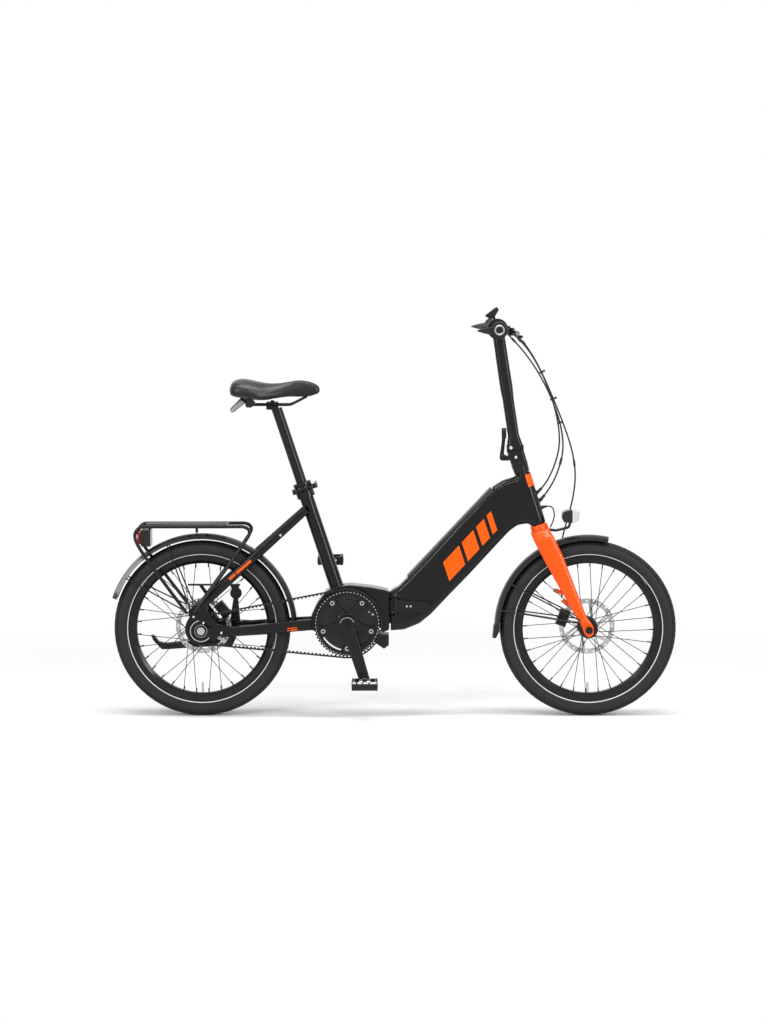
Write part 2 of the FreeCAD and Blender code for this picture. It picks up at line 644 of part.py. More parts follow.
def brake_caliper(hub, angle, y, outward):
    """A brake caliper that straddles the disc's edge without touching it."""
    cx, cz = polar(hub, 74, angle)
    body = block(cx - 24, cx + 24, y - 14, y + 16, cz - 15, cz + 15)
    tab = block(cx - 20, cx + 20, y + 4, y + outward, cz + 2, cz + 12)
    whole = fused(body, tab)
    whole.rotate(V(cx, 0, cz), V(0, -1, 0), angle - 90)
    return whole.cut(rod(at(hub, y - 1.6), at(hub, y + 3.4), 84))


# ---------------------------------------------------------------- saddle
def saddle():
    """Seat post, rail clamp, rails and the padded saddle."""
    up = unit(at(SEAT_TUBE_FOOT), at(SEAT_TUBE_TOP))
    top = at(SEAT_TUBE_TOP)
    low = top - up * SEAT_POST_INSIDE
    length = (SEAT_POST_TOP[1] - top.z) / up.z
    high = top + up * length
    save("seat_post", tube(low, high, SEAT_POST_R, 12.5))
    saddle_x = -342.0
    clamp = fused(block(saddle_x - 17, saddle_x + 17, -27, 27, 880, 890),
                  block(saddle_x - 17, saddle_x + 17, -27, 27, 897.2, 902),
                  rod(V(saddle_x, 0, 878), V(saddle_x, 0, 906), 5),
                  rod(high + up * 0.1, V(saddle_x + 2, 0, 884), 15))
    save("saddle_clamp", clamp.cut(MADE["seat_post"]))
    route = [V(-432, 0, 912), V(-404, 0, 893.6), V(-290, 0, 893.6), V(-244, 0, 917)]
    rails = [bent([p + V(0, side * y, 0) for p, y in zip(route, (34, 22, 22, 9))], 3.5, 30.0)
             for side in (-1, 1)]
    grip = slab([(-460, 884), (-453, 874), (-420, 902), (-424, 911.5), (-434, 911.5)], -24, 24)
    save("saddle_rails", *rails, grip)
    loops = []
    shape = ((-462, 54, 922, 952), (-444, 70, 915, 965), (-402, 76, 913, 962), (-350, 58, 915, 952),
             (-300, 34, 918, 951), (-252, 23, 919, 952), (-216, 17, 921, 948), (-206, 9, 926, 942))
    for x, half, base, crown in shape:
        middle = V(x, 0, (base + crown) / 2)
        high = (crown - base) / 2
        loops.append(rounded_loop(middle, V(0, 1, 0), V(0, 0, 1), half, high, 0.62 * min(high, half)))
    save("saddle", through(loops, True))


# ---------------------------------------------------------------- front frame
DOWN_TUBE = (                       # (lower x, z), (upper x, z), half width
    ((-5, 247), (-5, 362), 40), ((34, 250), (18, 374), 40), ((78, 268), (46, 403), 40),
    ((110, 294), (76, 434), 40), ((160, 347), (118, 480), 40), ((221, 410), (176, 544), 39),
    ((290, 485), (240, 611), 37), ((334, 532), (287, 660), 34), ((358, 549), (314, 677), 30),
    ((384, 553), (346, 687), 25), ((402, 548), (364, 692), 21))


def tube_loops(wall):
    """The down tube's sections, drawn in by the wall."""
    loops = []
    for number, (low, high, half) in enumerate(DOWN_TUBE):
        a, b = at(low), at(high)
        up = unit(a, b)
        middle = (a + b) * 0.5
        if wall and number in (0, len(DOWN_TUBE) - 1):
            ahead = V(0, 1, 0).cross(up)
            middle = middle + ahead * (4.0 if number == 0 else -6.0)
        tall = (b - a).Length / 2 - wall
        loops.append(rounded_loop(middle, V(0, 1, 0), up, half - wall, tall, 19.0 - wall))
    return loops


def battery_line():
    """Start and end of the battery along the down tube's upper edge, and the way out."""
    start = V(44, 0, 402.5)
    end = V(281, 0, 655)
    along = unit(start, end)
    out = along.cross(V(0, 1, 0))
    if out.z < 0:
        out = out * -1
    return start, end, along, out


def along_block(start, end, out, depth, above, half, grow=0.0):
    """A block along a line: it reaches depth below the line and above it, half wide each way."""
    along = unit(start, end)
    base = start - along * grow - out * (depth + grow) + V(0, -half - grow, 0)
    wide = V(0, 2 * (half + grow), 0)
    tall = out * (depth + above + grow)
    face = Part.Face(Part.makePolygon([base, base + wide, base + wide + tall, base + tall, base]))
    return face.extrude(along * ((end - start).Length + 2 * grow))


def cable_ports():
    """For each cable that enters the head tube: its boss and the blind hole for its end."""
    found = []
    for name, end, before, reach in (("rear brake hose", -1, -2, 16), ("gear cable", -1, -2, 20),
                                     ("lamp wire", 0, 1, 18)):
        tip = V(*ROUTES[name][end])
        inward = unit(V(*ROUTES[name][before]), tip)
        boss = rod(tip - inward * 4, tip + inward * reach, PORT_R)
        hole = rod(tip - inward * 5, tip + inward * 0.5, CABLE_R + 0.2)
        found.append((boss, hole))
    return found


def front_frame():
    """The hollow down tube with its head tube, and the battery that drops in from above."""
    outer = through(tube_loops(0.0), True)
    inner = through(tube_loops(4.0), True)
    start, end, along, out = battery_line()
    mouth = along_block(start, end, out, 60, 20, 29.0, 1.0)
    ledge = along_block(start + along * 30, end - along * 30, out, 68, -62, 36.5)
    head = rod(at(HEAD_LOW), at(HEAD_HIGH), 23)
    up = steer_up()
    bore = rod(at(HEAD_LOW) - up * 30, at(HEAD_HIGH) + up * 30, STEERER_R + RUN)
    x, y = FOLD_PIN
    barrel = rod(V(x, y, 283), V(x, y, 329), 10)
    web = block(x + HINGE_GAP, x + 30, 28, y + 5, 283, 329)
    hole = rod(V(x, y, 200), V(x, y, 400), FOLD_PIN_R + RUN)
    lugs = [fused(rod(V(*LATCH_PIN, z), V(*LATCH_PIN, z + 8), 6.5),
                  block(LATCH_PIN[0] - 6.5, LATCH_PIN[0] + 6.5, LATCH_PIN[1], -38, z, z + 8))
            for z in (292, 342)]
    pin = rod(V(*LATCH_PIN, 292), V(*LATCH_PIN, 350), LATCH_PIN_R)
    ports = cable_ports()
    shell = fused(outer.cut(inner).cut(mouth), ledge.common(outer), head, barrel, web, pin, *lugs,
                  *[boss for boss, _ in ports])
    for _, socket in ports:
        shell = shell.cut(socket)
    save("front_frame_tube", shell.cut(bore).cut(hole))
    pack = along_block(start, end, out, 60, -1.0, 29.0)
    save("battery_pack", fused(pack, along_block(start, end, out, 2, 2.2, 27.0)))


def frame_latch():
    """The long lever that locks the frame's hinge, lying along the right side."""
    plan = [(9, 304), (9, 338), (98, 333), (116, 320), (110, 306), (70, 303)]
    x, y = LATCH_PIN
    blade = slab(plan, y - 6.5, y - 0.5)
    barrel = rod(V(x, y, 301), V(x, y, 341), 6.5)
    bore = rod(V(x, y, 290), V(x, y, 350), LATCH_PIN_R + RUN)
    save("frame_latch_lever", fused(blade, barrel).cut(bore))


# ---------------------------------------------------------------- steering
def steer_up():
    """Upward direction of the steering axis."""
    return unit(at(HEAD_LOW), at(HEAD_HIGH))


def fork():
    """One-piece fork: steerer, crown and two blades that end in dropouts."""
    up = steer_up()
    low = at(HEAD_LOW)
    high = at(HEAD_HIGH)
    steerer = rod(low - up * 12, high + up * 26, STEERER_R)
    crown = rod(low - up * 26, low - up * 0.6, 23)
    blades = []
    ahead = V(0, 1, 0).cross(up) * -1
    if ahead.x < 0:
        ahead = ahead * -1
    for side in (-1, 1):
        shoulder = []
        for x, y, z, half_long, half_short in (
                (421, 20, 534, 27, 15), (432, 43, 512, 29, 12), (462, 46, 452, 28, 10.5),
                (497, 49, 378, 22, 9.5), (532, 53.5, 305, 16, 8.5), (551, 56.5, 266, 12, 6.5)):
            shoulder.append(oval_loop(V(x, side * y, z), up, ahead, half_long, half_short))
        blades.append(through(shoulder, True))
        a, b = sorted((side * 50.6, side * 58))
        blades.append(slab([(538, 286), (560, 284), (574, 262), (575, 240), (562, 230), (549, 238),
                            (540, 262)], a, b))
    bridge = rod(V(429, -34, 520), V(429, 34, 520), 13)
    whole = fused(steerer, crown, bridge, *blades)
    return whole.cut(rod(at(FRONT_HUB, -80), at(FRONT_HUB, 80), 6))


def stem_base():
    """The lower stem: it clamps the steerer and carries the folding joint."""
    up = steer_up()
    high = at(HEAD_HIGH)
    low = high + up * 0.6
    collar = cone(low, low + up * 30, 22, 24)
    top = V(350, 0, STEM_SPLIT_Z)
    loops = [rounded_loop(low + up * 24, V(0, 1, 0), V(1, 0, 0), 22, 24, 10),
             rounded_loop(top, V(0, 1, 0), V(1, 0, 0), 23, 25, 10)]
    body = through(loops, True)
    x0, x1 = STEM_PIN_X
    y, z = STEM_PIN
    ear = fused(rod(V(STEM_EAR_X[0], y, z), V(STEM_EAR_X[1], y, z), STEM_EAR_R),
                block(*STEM_EAR_X, 18, y, z - 14, z - 1.2))
    whole = fused(collar, body, ear)
    whole = whole.cut(block(x0 - 5, x1 + 5, -40, 23.6, STEM_SPLIT_Z, STEM_SPLIT_Z + 30))
    whole = whole.cut(rod(at(HEAD_LOW), high + up * 26.5, STEERER_R))
    whole = whole.cut(rod(V(x0 - 5, y, z), V(x1 + 5, y, z), STEM_PIN_R + RUN))
    lx, lz = STEM_LATCH
    lugs = [fused(block(lx, lx + 18, y, y + 5, lz - 8, lz + 8), rod(V(lx, y, lz), V(lx, y + 5, lz), 8))
            for y in (13.5, -18.5)]
    pin = rod(V(lx, -18.5, lz), V(lx, 18.5, lz), 3)
    return fused(whole, *lugs, pin)


def front_fender():
    """Front mudguard with its flap, its two pairs of wire stays and its mount at the crown."""
    guard = fender(FRONT_HUB, FENDER_R_FRONT, 77.6, 182.3)
    flap = slab([(290.6, 262), (303.5, 262), (304, 240), (297, 226), (287, 226)], -26, 26)
    flap = flap.cut(rod(at(FRONT_HUB, -40), at(FRONT_HUB, 40), FENDER_R_FRONT - 12.5))
    wires = []
    for angle, z in ((168.0, 272.0), (150.0, 280.0)):
        top = at(polar(FRONT_HUB, FENDER_R_FRONT - 12.0, angle), 29.6)
        wires += both(rod(V(536, 62.4, z), top, 2.0))
    wires = [wire.cut(MADE["fork"]).cut(MADE["front_caliper"]) for wire in wires]
    post = block(432, 444, -8, 8, 486, 510)
    post = post.cut(rod(at(FRONT_HUB, -40), at(FRONT_HUB, 40), FENDER_R_FRONT + 0.2))
    post = post.cut(MADE["fork"])
    return [fused(guard, flap), post] + wires


def headlamp():
    """The lamp on its curved bracket above the front wheel."""
    shell = slab([(484, 570), (490, 558), (520, 556), (528, 560), (531, 592), (500, 592),
                  (486, 586)], -24, 24)
    lens = slab([(528.6, 562), (533, 564), (535, 588), (531.4, 590)], -22, 22)
    arm = bent([V(447.6, 0, 536), V(468, 0, 533), V(506, 0, 542), V(509, 0, 558)], 4.0, 20.0)
    return [shell.fuse(arm.cut(shell)).removeSplitter(), lens.cut(shell)]


def steering():
    """Everything that turns with the fork."""
    save("fork", fork())
    save("stem_base", stem_base())
    save("front_caliper", brake_caliper(FRONT_HUB, 160, 39.2, 13.5))
    save("front_fender", *front_fender())
    save("headlamp", *headlamp())
    axle = rod(at(FRONT_HUB, -66), at(FRONT_HUB, 66), 6)
    spacers = [rod(at(FRONT_HUB, y), at(FRONT_HUB, y + 4.0), 9) for y in (-50.4, 46.4)]
    nuts = [rod(at(FRONT_HUB, y), at(FRONT_HUB, y + 6), 10) for y in (-64.2, 58.2)]
    save("front_axle", fused(axle, *spacers, *nuts))


# ---------------------------------------------------------------- handlebar
def handlepost():
    """The folding post: hinge block, tapered tube and the clamp that holds the bar."""
    y, z = STEM_PIN
    x0, x1 = STEM_PIN_X
    foot = block(326, 374, -23, 23, STEM_SPLIT_Z + 0.8, STEM_SPLIT_Z + 14)
    foot = foot.cut(block(STEM_EAR_X[0] - 2.6, STEM_EAR_X[1] + 2.6, 22, 40, z - 60, z + 40))
    hinge = []
    for a, b in ((x0, STEM_EAR_X[0] - 0.6), (STEM_EAR_X[1] + 0.6, x1)):
        hinge.append(fused(rod(V(a, y, z), V(b, y, z), STEM_EAR_R),
                           block(a, b, 18, y, z, z + 13)))
    pin = rod(V(x0, y, z), V(x1, y, z), STEM_PIN_R)
    low = at(POST_LOW)
    high = at(POST_HIGH)
    up = unit(low, high)
    ahead = V(0, 1, 0).cross(up)
    loops = [rounded_loop(V(350, 0, STEM_SPLIT_Z + 13), V(0, 1, 0), V(1, 0, 0), 22, 23, 10),
             rounded_loop(low + up * 8, V(0, 1, 0), ahead, 17, 16, 10),
             rounded_loop(low + up * 110, V(0, 1, 0), ahead, 17, 16, 10),
             rounded_loop(low + up * 145, V(0, 1, 0), ahead, 18, 18, 12),
             rounded_loop(high, V(0, 1, 0), ahead, 17, 17, 12)]
    post = through(loops, True)
    clamp = rod(V(BAR[0], -25, BAR[1]), V(BAR[0], 25, BAR[1]), 21)
    whole = fused(post, clamp, foot, *hinge, pin)
    return whole.cut(rod(V(BAR[0], -60, BAR[1]), V(BAR[0], 60, BAR[1]), 15.9))


def handlebar():
    """The bar, thick in the middle, with the two brake lever mounts."""
    x, z = BAR
    bar = tube(V(x, -BAR_HALF + 2, z), V(x, BAR_HALF - 2, z), 11.1, 8.6)
    middle = tube(V(x, -34, z), V(x, 34, z), 15.9, 8.6)
    perches = []
    for side in (-1, 1):
        a, b = sorted((side * 108.0, side * 124.0))
        ring = tube(V(x, a, z), V(x, b, z), 17, 8.6)
        arm = block(x + 12, x + 42, a + 2, b - 2, z - 14, z - 2)
        tank = rod(V(x + 20, side * 74, z - 8), V(x + 38, side * 116, z - 8), 8.5)
        eye = rod(V(x + 40, side * 118, z - 19), V(x + 40, side * 118, z + 3), 7)
        gap = rod(V(x + 40, side * 118, z - 13), V(x + 40, side * 118, z - 3), 18)
        perches.append(fused(ring, arm, tank, eye).cut(gap).cut(
            rod(V(x + 40, side * 118, z - 30), V(x + 40, side * 118, z + 20), 2.5)))
    return fused(bar, middle, *perches)


def brake_lever(side):
    """A two-finger lever on its upright pin, reaching out ahead of the grip."""
    x, z = BAR[0] + 40, BAR[1] - 8
    barrel = rod(V(x, side * 118, z - 4), V(x, side * 118, z + 4), 6.2)
    pin = rod(V(x, side * 118, z - 11), V(x, side * 118, z + 11), 2.5 - RUN)
    loops = []
    for dx, y, dz, half_long, half_thick in ((4, 119, 0, 6, 3.6), (16, 140, -2, 6, 3.8),
                                             (14, 190, -10, 6.5, 3.6), (20, 222, -12, 7, 3.8)):
        loops.append(rounded_loop(V(x + dx, side * y, z + dz), V(1, 0, 0), V(0, 0, 1),
                                  half_long, half_thick, 2.5))
    return fused(barrel, pin, through(loops, True))


def grips():
    """Two grips with a palm wing behind and a ring at the end."""
    x, z = BAR
    found = []
    for side in (-1, 1):
        a, b = sorted((side * 170.0, side * (BAR_HALF - 1.0)))
        core = rod(V(x, a, z), V(x, b, z), 16)
        wing = []
        for share, reach, thick in ((0.0, 20, 8), (0.45, 30, 7), (1.0, 62, 6)):
            y = side * (182 + share * 104)
            middle = V(x - reach / 2, y, z - 2 - 0.16 * reach)
            wing.append(rounded_loop(middle, V(1, 0, 0), V(0, 0, 1), reach / 2, thick, 4))
        grip = fused(core, through(wing, True))
        found.append(grip.cut(rod(V(x, a - 1, z), V(x, b + 1, z), 11.1)))
        end = sorted((side * (BAR_HALF - 1.0), side * (BAR_HALF + 3.0)))
        found.append(rod(V(x, end[0], z), V(x, end[1], z), 13))
    return found


def stem_latch():
    """The upright lever behind the post, with a finger loop at its top."""
    lx, pivot_z = STEM_LATCH
    eye = rod(V(lx, -13, pivot_z), V(lx, 13, pivot_z), 8)
    loops = [rounded_loop(V(312, 0, pivot_z + 4), V(0, 1, 0), V(1, 0, 0), 10, 6, 4),
             rounded_loop(V(316, 0, 780), V(0, 1, 0), V(1, 0, 0), 9, 5, 4),
             rounded_loop(V(318.5, 0, 808), V(0, 1, 0), V(1, 0, 0), 12, 5.5, 4)]
    blade = through(loops, True)
    ring = rod(V(312, 0, 812), V(325, 0, 812), 15)
    hole = rod(V(300, 0, 812), V(330, 0, 812), 8)
    return fused(eye, blade, ring).cut(hole).cut(
        rod(V(lx, -20, pivot_z), V(lx, 20, pivot_z), 3 + RUN))


def controls():
    """Handlebar with everything on it."""
    save("handlepost", handlepost())
    save("handlebar", handlebar())
    save("grips", *grips())
    x, z = BAR
    body = slab([(262, 1146), (296, 1172), (302, 1164), (288, 1140), (276, 1138)], -32, 32)
    bracket = block(284, 292, -20, 20, 1130, 1144)
    ring = tube(V(x, -45, z), V(x, -35.2, z), 20, 15.95)
    body = fused(body, bracket, block(284, 292, -44, -19, 1128, 1140), ring.cut(
        rod(V(x, -60, z), V(x, 60, z), 11.2)))
    save("display", body.cut(rod(V(x, -60, z), V(x, 60, z), 15.95)).cut(
        rod(V(x, -26, z), V(x, 26, z), 21.2)))
    twist = tube(V(x, -168.5, z), V(x, -134, z), 19, 11.1 + RUN)
    save("twist_shifter", fused(twist, tube(V(x, -146, z), V(x, -134, z), 29, 18)))
    save("brake_lever_right", brake_lever(-1))
    save("brake_lever_left", brake_lever(1))
    save("stem_latch_lever", stem_latch())


# ---------------------------------------------------------------- cables
def cables():
    """Hoses and wires from the bar to the frame, the front brake and the lamp."""
    runs = []
    for name, route in ROUTES.items():
        points = [V(*p) for p in route]
        run = bent(points, CABLE_R)
        length = sum((b - a).Length for a, b in zip(points, points[1:]))
        print(f"{name}: {length:.0f} mm along its points,"
              f" {run.Volume / (math.pi * CABLE_R ** 2):.0f} mm in the solid")
        runs.append(run)
    save("cables", *runs)


def main():
    os.makedirs("parts", exist_ok=True)
    rear_wheel()
    front_wheel()
    drive_belt()
    crankset()
    pedal(-1, "right")
    pedal(1, "left")
    rear_frame()
    save("rear_caliper", brake_caliper(REAR_HUB, 40, 48.2, 18.5))
    kickstand()
    rear_fender()
    saddle()
    front_frame()
    frame_latch()
    steering()
    controls()
    cables()


main()
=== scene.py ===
# %% [markdown]
# # A folding electric bicycle
# The bicycle is already built as solids with working joints. This notebook loads those solids
# as a fixed frame and gives every piece its finish. Shapes that a solid does not hold well
# (padding, rubber tread, screws, cables, print on paint) are made here as meshes.

# %% Load the frame
import bpy
import bmesh
import json
import math
from mathutils import Matrix, Vector
from mathutils.bvhtree import BVHTree

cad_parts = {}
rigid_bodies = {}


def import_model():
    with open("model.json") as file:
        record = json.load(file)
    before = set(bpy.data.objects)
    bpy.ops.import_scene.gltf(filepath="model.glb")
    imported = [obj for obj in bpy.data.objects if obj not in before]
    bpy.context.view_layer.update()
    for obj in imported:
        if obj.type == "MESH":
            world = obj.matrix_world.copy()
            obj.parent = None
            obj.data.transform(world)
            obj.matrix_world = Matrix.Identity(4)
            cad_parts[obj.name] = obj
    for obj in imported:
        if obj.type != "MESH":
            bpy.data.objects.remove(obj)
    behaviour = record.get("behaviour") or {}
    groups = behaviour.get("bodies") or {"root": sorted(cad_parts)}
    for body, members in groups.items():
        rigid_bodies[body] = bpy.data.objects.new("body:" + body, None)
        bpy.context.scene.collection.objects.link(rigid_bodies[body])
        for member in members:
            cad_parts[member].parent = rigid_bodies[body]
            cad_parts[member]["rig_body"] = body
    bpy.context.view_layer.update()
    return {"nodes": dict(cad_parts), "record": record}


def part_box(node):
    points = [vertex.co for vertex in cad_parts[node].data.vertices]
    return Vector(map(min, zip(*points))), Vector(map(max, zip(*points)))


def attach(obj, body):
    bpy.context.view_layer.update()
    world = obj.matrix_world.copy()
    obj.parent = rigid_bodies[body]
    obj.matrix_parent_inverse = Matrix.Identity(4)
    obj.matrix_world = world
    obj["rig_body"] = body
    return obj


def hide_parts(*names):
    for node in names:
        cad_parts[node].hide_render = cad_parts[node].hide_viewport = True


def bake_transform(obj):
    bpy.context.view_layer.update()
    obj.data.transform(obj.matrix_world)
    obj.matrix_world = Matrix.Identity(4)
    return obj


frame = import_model()
NODES = frame["nodes"]

# %% [markdown]
# ## Camera
# A bicycle is best known from its drive side, seen square on with a long lens from far away,
# so that both wheels stay round. The lens is long enough that depth hardly changes sizes.

# %% Camera
LOOK_AT = Vector((-0.024, 0.0, 0.586))
CAMERA_AT = Vector((-0.024, -8.5, 1.30))

lens = bpy.data.cameras.new("side_camera")
lens.sensor_fit = "VERTICAL"
lens.sensor_height = 36.0
lens.lens = 104.8
lens.clip_end = 100.0
camera = bpy.data.objects.new("side_camera", lens)
camera.location = CAMERA_AT
camera.rotation_euler = (LOOK_AT - CAMERA_AT).to_track_quat("-Z", "Y").to_euler()
bpy.context.scene.collection.objects.link(camera)
bpy.context.scene.camera = camera
print("camera", round((LOOK_AT - CAMERA_AT).length, 2), "m away")

# %% [markdown]
# ## Studio
# Black paint shows almost only what it reflects. Soft boxes light the forms at a plain level,
# and tall narrow strips draw the bright lines along the tubes. The surround is white to the
# lens and in every reflection, and adds only a part of that as light. The floor is a pale sheet
# that fades into the surround, so it has no edge but still takes the shadow.

# %% Studio light
scene = bpy.context.scene
scene.view_settings.view_transform = "Standard"


def node_of(tree, kind, place=(0, 0), **settings):
    """Adds one node to a tree; a setting is a property or, failing that, an input's value."""
    made = tree.nodes.new(kind)
    made.location = place
    for name, value in settings.items():
        if hasattr(made, name):
            setattr(made, name, value)
        else:
            made.inputs[name.replace("_", " ")].default_value = value
    return made


def join(tree, source, outlet, target, inlet):
    """Links an output of one node to an input of another."""
    tree.links.new(source.outputs[outlet], target.inputs[inlet])


def surround(diffuse, seen):
    """A plain world: its light on matte surfaces, and what the lens and reflections see."""
    world = bpy.data.worlds.new("studio")
    scene.world = world
    world.use_nodes = True
    tree = world.node_tree
    tree.nodes.clear()
    path = node_of(tree, "ShaderNodeLightPath")
    first = node_of(tree, "ShaderNodeMath", operation="MAXIMUM")
    second = node_of(tree, "ShaderNodeMath", operation="MAXIMUM")
    dim = node_of(tree, "ShaderNodeBackground", Color=(1, 1, 1, 1), Strength=diffuse)
    bright = node_of(tree, "ShaderNodeBackground", Color=(1, 1, 1, 1), Strength=seen)
    mix = node_of(tree, "ShaderNodeMixShader")
    out = node_of(tree, "ShaderNodeOutputWorld")
    join(tree, path, "Is Camera Ray", first, 0)
    join(tree, path, "Is Glossy Ray", first, 1)
    join(tree, first, 0, second, 0)
    join(tree, path, "Is Transmission Ray", second, 1)
    join(tree, second, 0, mix, 0)
    join(tree, dim, 0, mix, 1)
    join(tree, bright, 0, mix, 2)
    join(tree, mix, 0, out, 0)


def softbox(name, at, size, watts):
    """A rectangular lamp that faces the bicycle."""
    lamp = bpy.data.lights.new(name, "AREA")
    lamp.shape = "RECTANGLE"
    lamp.size, lamp.size_y = size
    lamp.energy = watts
    held = bpy.data.objects.new(name, lamp)
    held.location = at
    held.rotation_euler = (Vector((0, 0, 0.5)) - Vector(at)).to_track_quat("-Z", "Y").to_euler()
    scene.collection.objects.link(held)


surround(0.40, 1.0)
softbox("box_above", (0.0, -0.4, 3.6), (3.4, 0.9), 90)
softbox("box_left", (-3.0, -3.4, 2.6), (0.6, 2.2), 66)
softbox("box_right", (3.4, -2.6, 2.2), (0.5, 2.2), 54)
softbox("strip_left", (-3.0, -4.6, 1.3), (0.20, 3.0), 34)
softbox("strip_right", (3.2, -3.2, 1.3), (0.18, 3.0), 30)
softbox("strip_above", (0.0, -3.0, 3.2), (3.6, 0.24), 36)

# %% Floor
def floor_sheet(radius):
    """A round floor whose middle takes the shadow and whose rim fades away."""
    mesh = bpy.data.meshes.new("floor")
    bm = bmesh.new()
    bmesh.ops.create_circle(bm, cap_ends=True, radius=radius, segments=96)
    bm.to_mesh(mesh)
    bm.free()
    sheet = bpy.data.objects.new("floor", mesh)
    scene.collection.objects.link(sheet)
    material = bpy.data.materials.new("pale_floor")
    material.use_nodes = True
    tree = material.node_tree
    tree.nodes.clear()
    place = node_of(tree, "ShaderNodeTexCoord")
    distance = node_of(tree, "ShaderNodeVectorMath", operation="LENGTH")
    fade = node_of(tree, "ShaderNodeMapRange")
    fade.interpolation_type = "SMOOTHSTEP"
    fade.inputs["From Min"].default_value = radius * 0.28
    fade.inputs["From Max"].default_value = radius * 0.9
    matte = node_of(tree, "ShaderNodeBsdfDiffuse", Color=(0.93, 0.93, 0.93, 1))
    clear = node_of(tree, "ShaderNodeBsdfTransparent")
    mix = node_of(tree, "ShaderNodeMixShader")
    out = node_of(tree, "ShaderNodeOutputMaterial")
    join(tree, place, "Object", distance, 0)
    join(tree, distance, "Value", fade, "Value")
    join(tree, fade, 0, mix, 0)
    join(tree, matte, 0, mix, 1)
    join(tree, clear, 0, mix, 2)
    join(tree, mix, 0, out, 0)
    mesh.materials.append(material)


floor_sheet(2.6)
print("floor laid")

# %% [markdown]
# ## Shared effects
# Most surfaces need two small things to stop looking like flat colour: a fine relief, and a
# slow drift of tone and gloss. Each is a node group, built once, with its sizes as inputs.

# %% Relief and drift groups
def group(name, inputs, outputs):
    """An empty shader group with named sockets: (name, type, value)."""
    tree = bpy.data.node_groups.new(name, "ShaderNodeTree")
    for label, kind, value in inputs:
        socket = tree.interface.new_socket(label, in_out="INPUT", socket_type=kind)
        if value is not None:
            socket.default_value = value
    for label, kind in outputs:
        tree.interface.new_socket(label, in_out="OUTPUT", socket_type=kind)
    return tree, node_of(tree, "NodeGroupInput"), node_of(tree, "NodeGroupOutput", (900, 0))


def make_relief():
    """Fine bumps of a cast, moulded or painted surface, as a normal."""
    tree, given, out = group("fine_relief", [
        ("Grains per metre", "NodeSocketFloat", 900.0), ("Depth", "NodeSocketFloat", 0.05)],
        [("Normal", "NodeSocketVector"), ("Height", "NodeSocketFloat")])
    place = node_of(tree, "ShaderNodeTexCoord")
    noise = node_of(tree, "ShaderNodeTexNoise", Detail=3.0, Roughness=0.55)
    bump = node_of(tree, "ShaderNodeBump", Distance=0.001)
    join(tree, place, "Object", noise, "Vector")
    join(tree, given, 0, noise, "Scale")
    join(tree, noise, "Fac", bump, "Height")
    join(tree, given, 1, bump, "Strength")
    join(tree, bump, 0, out, 0)
    join(tree, noise, "Fac", out, 1)
    return tree


def make_drift():
    """Slow change of tone and gloss, as hands, light dust and polish leave them."""
    tree, given, out = group("tone_drift", [
        ("Colour", "NodeSocketColor", (0.5, 0.5, 0.5, 1)), ("Tone", "NodeSocketFloat", 0.15),
        ("Gloss", "NodeSocketFloat", 0.3), ("Gloss spread", "NodeSocketFloat", 0.06),
        ("Patches per metre", "NodeSocketFloat", 14.0)],
        [("Colour", "NodeSocketColor"), ("Roughness", "NodeSocketFloat")])
    place = node_of(tree, "ShaderNodeTexCoord")
    noise = node_of(tree, "ShaderNodeTexNoise", Detail=4.0, Roughness=0.6)
    centred = node_of(tree, "ShaderNodeMath", operation="SUBTRACT")
    centred.inputs[1].default_value = 0.5
    tone = node_of(tree, "ShaderNodeMath", operation="MULTIPLY_ADD")
    tone.inputs[2].default_value = 1.0
    colour = node_of(tree, "ShaderNodeVectorMath", operation="SCALE")
    gloss = node_of(tree, "ShaderNodeMath", operation="MULTIPLY_ADD")
    join(tree, place, "Object", noise, "Vector")
    join(tree, given, 4, noise, "Scale")
    join(tree, noise, "Fac", centred, 0)
    join(tree, centred, 0, tone, 0)
    join(tree, given, 1, tone, 1)
    join(tree, given, 0, colour, 0)
    join(tree, tone, 0, colour, "Scale")
    join(tree, centred, 0, gloss, 0)
    join(tree, given, 3, gloss, 1)
    join(tree, given, 2, gloss, 2)
    join(tree, colour, 0, out, 0)
    join(tree, gloss, 0, out, 1)
    return tree


RELIEF = make_relief()
DRIFT = make_drift()
print("groups", RELIEF.name, DRIFT.name)

# %% One material from its facts
def put_group(tree, group_tree, values, place=(-600, 0)):
    """Places a group in a material and sets its inputs by name."""
    made = tree.nodes.new("ShaderNodeGroup")
    made.node_tree = group_tree
    made.location = place
    for name, value in values.items():
        made.inputs[name].default_value = value
    return made


def finish(name, colour, rough, metal=0.0, grain=900.0, depth=0.04, tone=0.2, spread=0.06,
           patches=14.0, **sockets):
    """A material: drift of tone and gloss, fine relief, and plain values on the shader."""
    material = bpy.data.materials.new(name)
    material.use_nodes = True
    tree = material.node_tree
    shader = tree.nodes["Principled BSDF"]
    drift = put_group(tree, DRIFT, {
        "Colour": (*colour, 1), "Tone": tone, "Gloss": rough, "Gloss spread": spread,
        "Patches per metre": patches})
    relief = put_group(tree, RELIEF, {"Grains per metre": grain, "Depth": depth}, (-600, -300))
    join(tree, drift, "Colour", shader, "Base Color")
    join(tree, drift, "Roughness", shader, "Roughness")
    join(tree, relief, "Normal", shader, "Normal")
    shader.inputs["Metallic"].default_value = metal
    for socket, value in sockets.items():
        shader.inputs[socket.replace("_", " ")].default_value = value
    return material

# %% [markdown]
# ## The finishes
# The frame is black lacquer under a clear coat. Alloy parts are anodised black and satin.
# Rubber, moulded plastic and steel each get their own gloss and grain. Blacks are kept darker
# than they look, because the room adds its own reflection to every one of them.

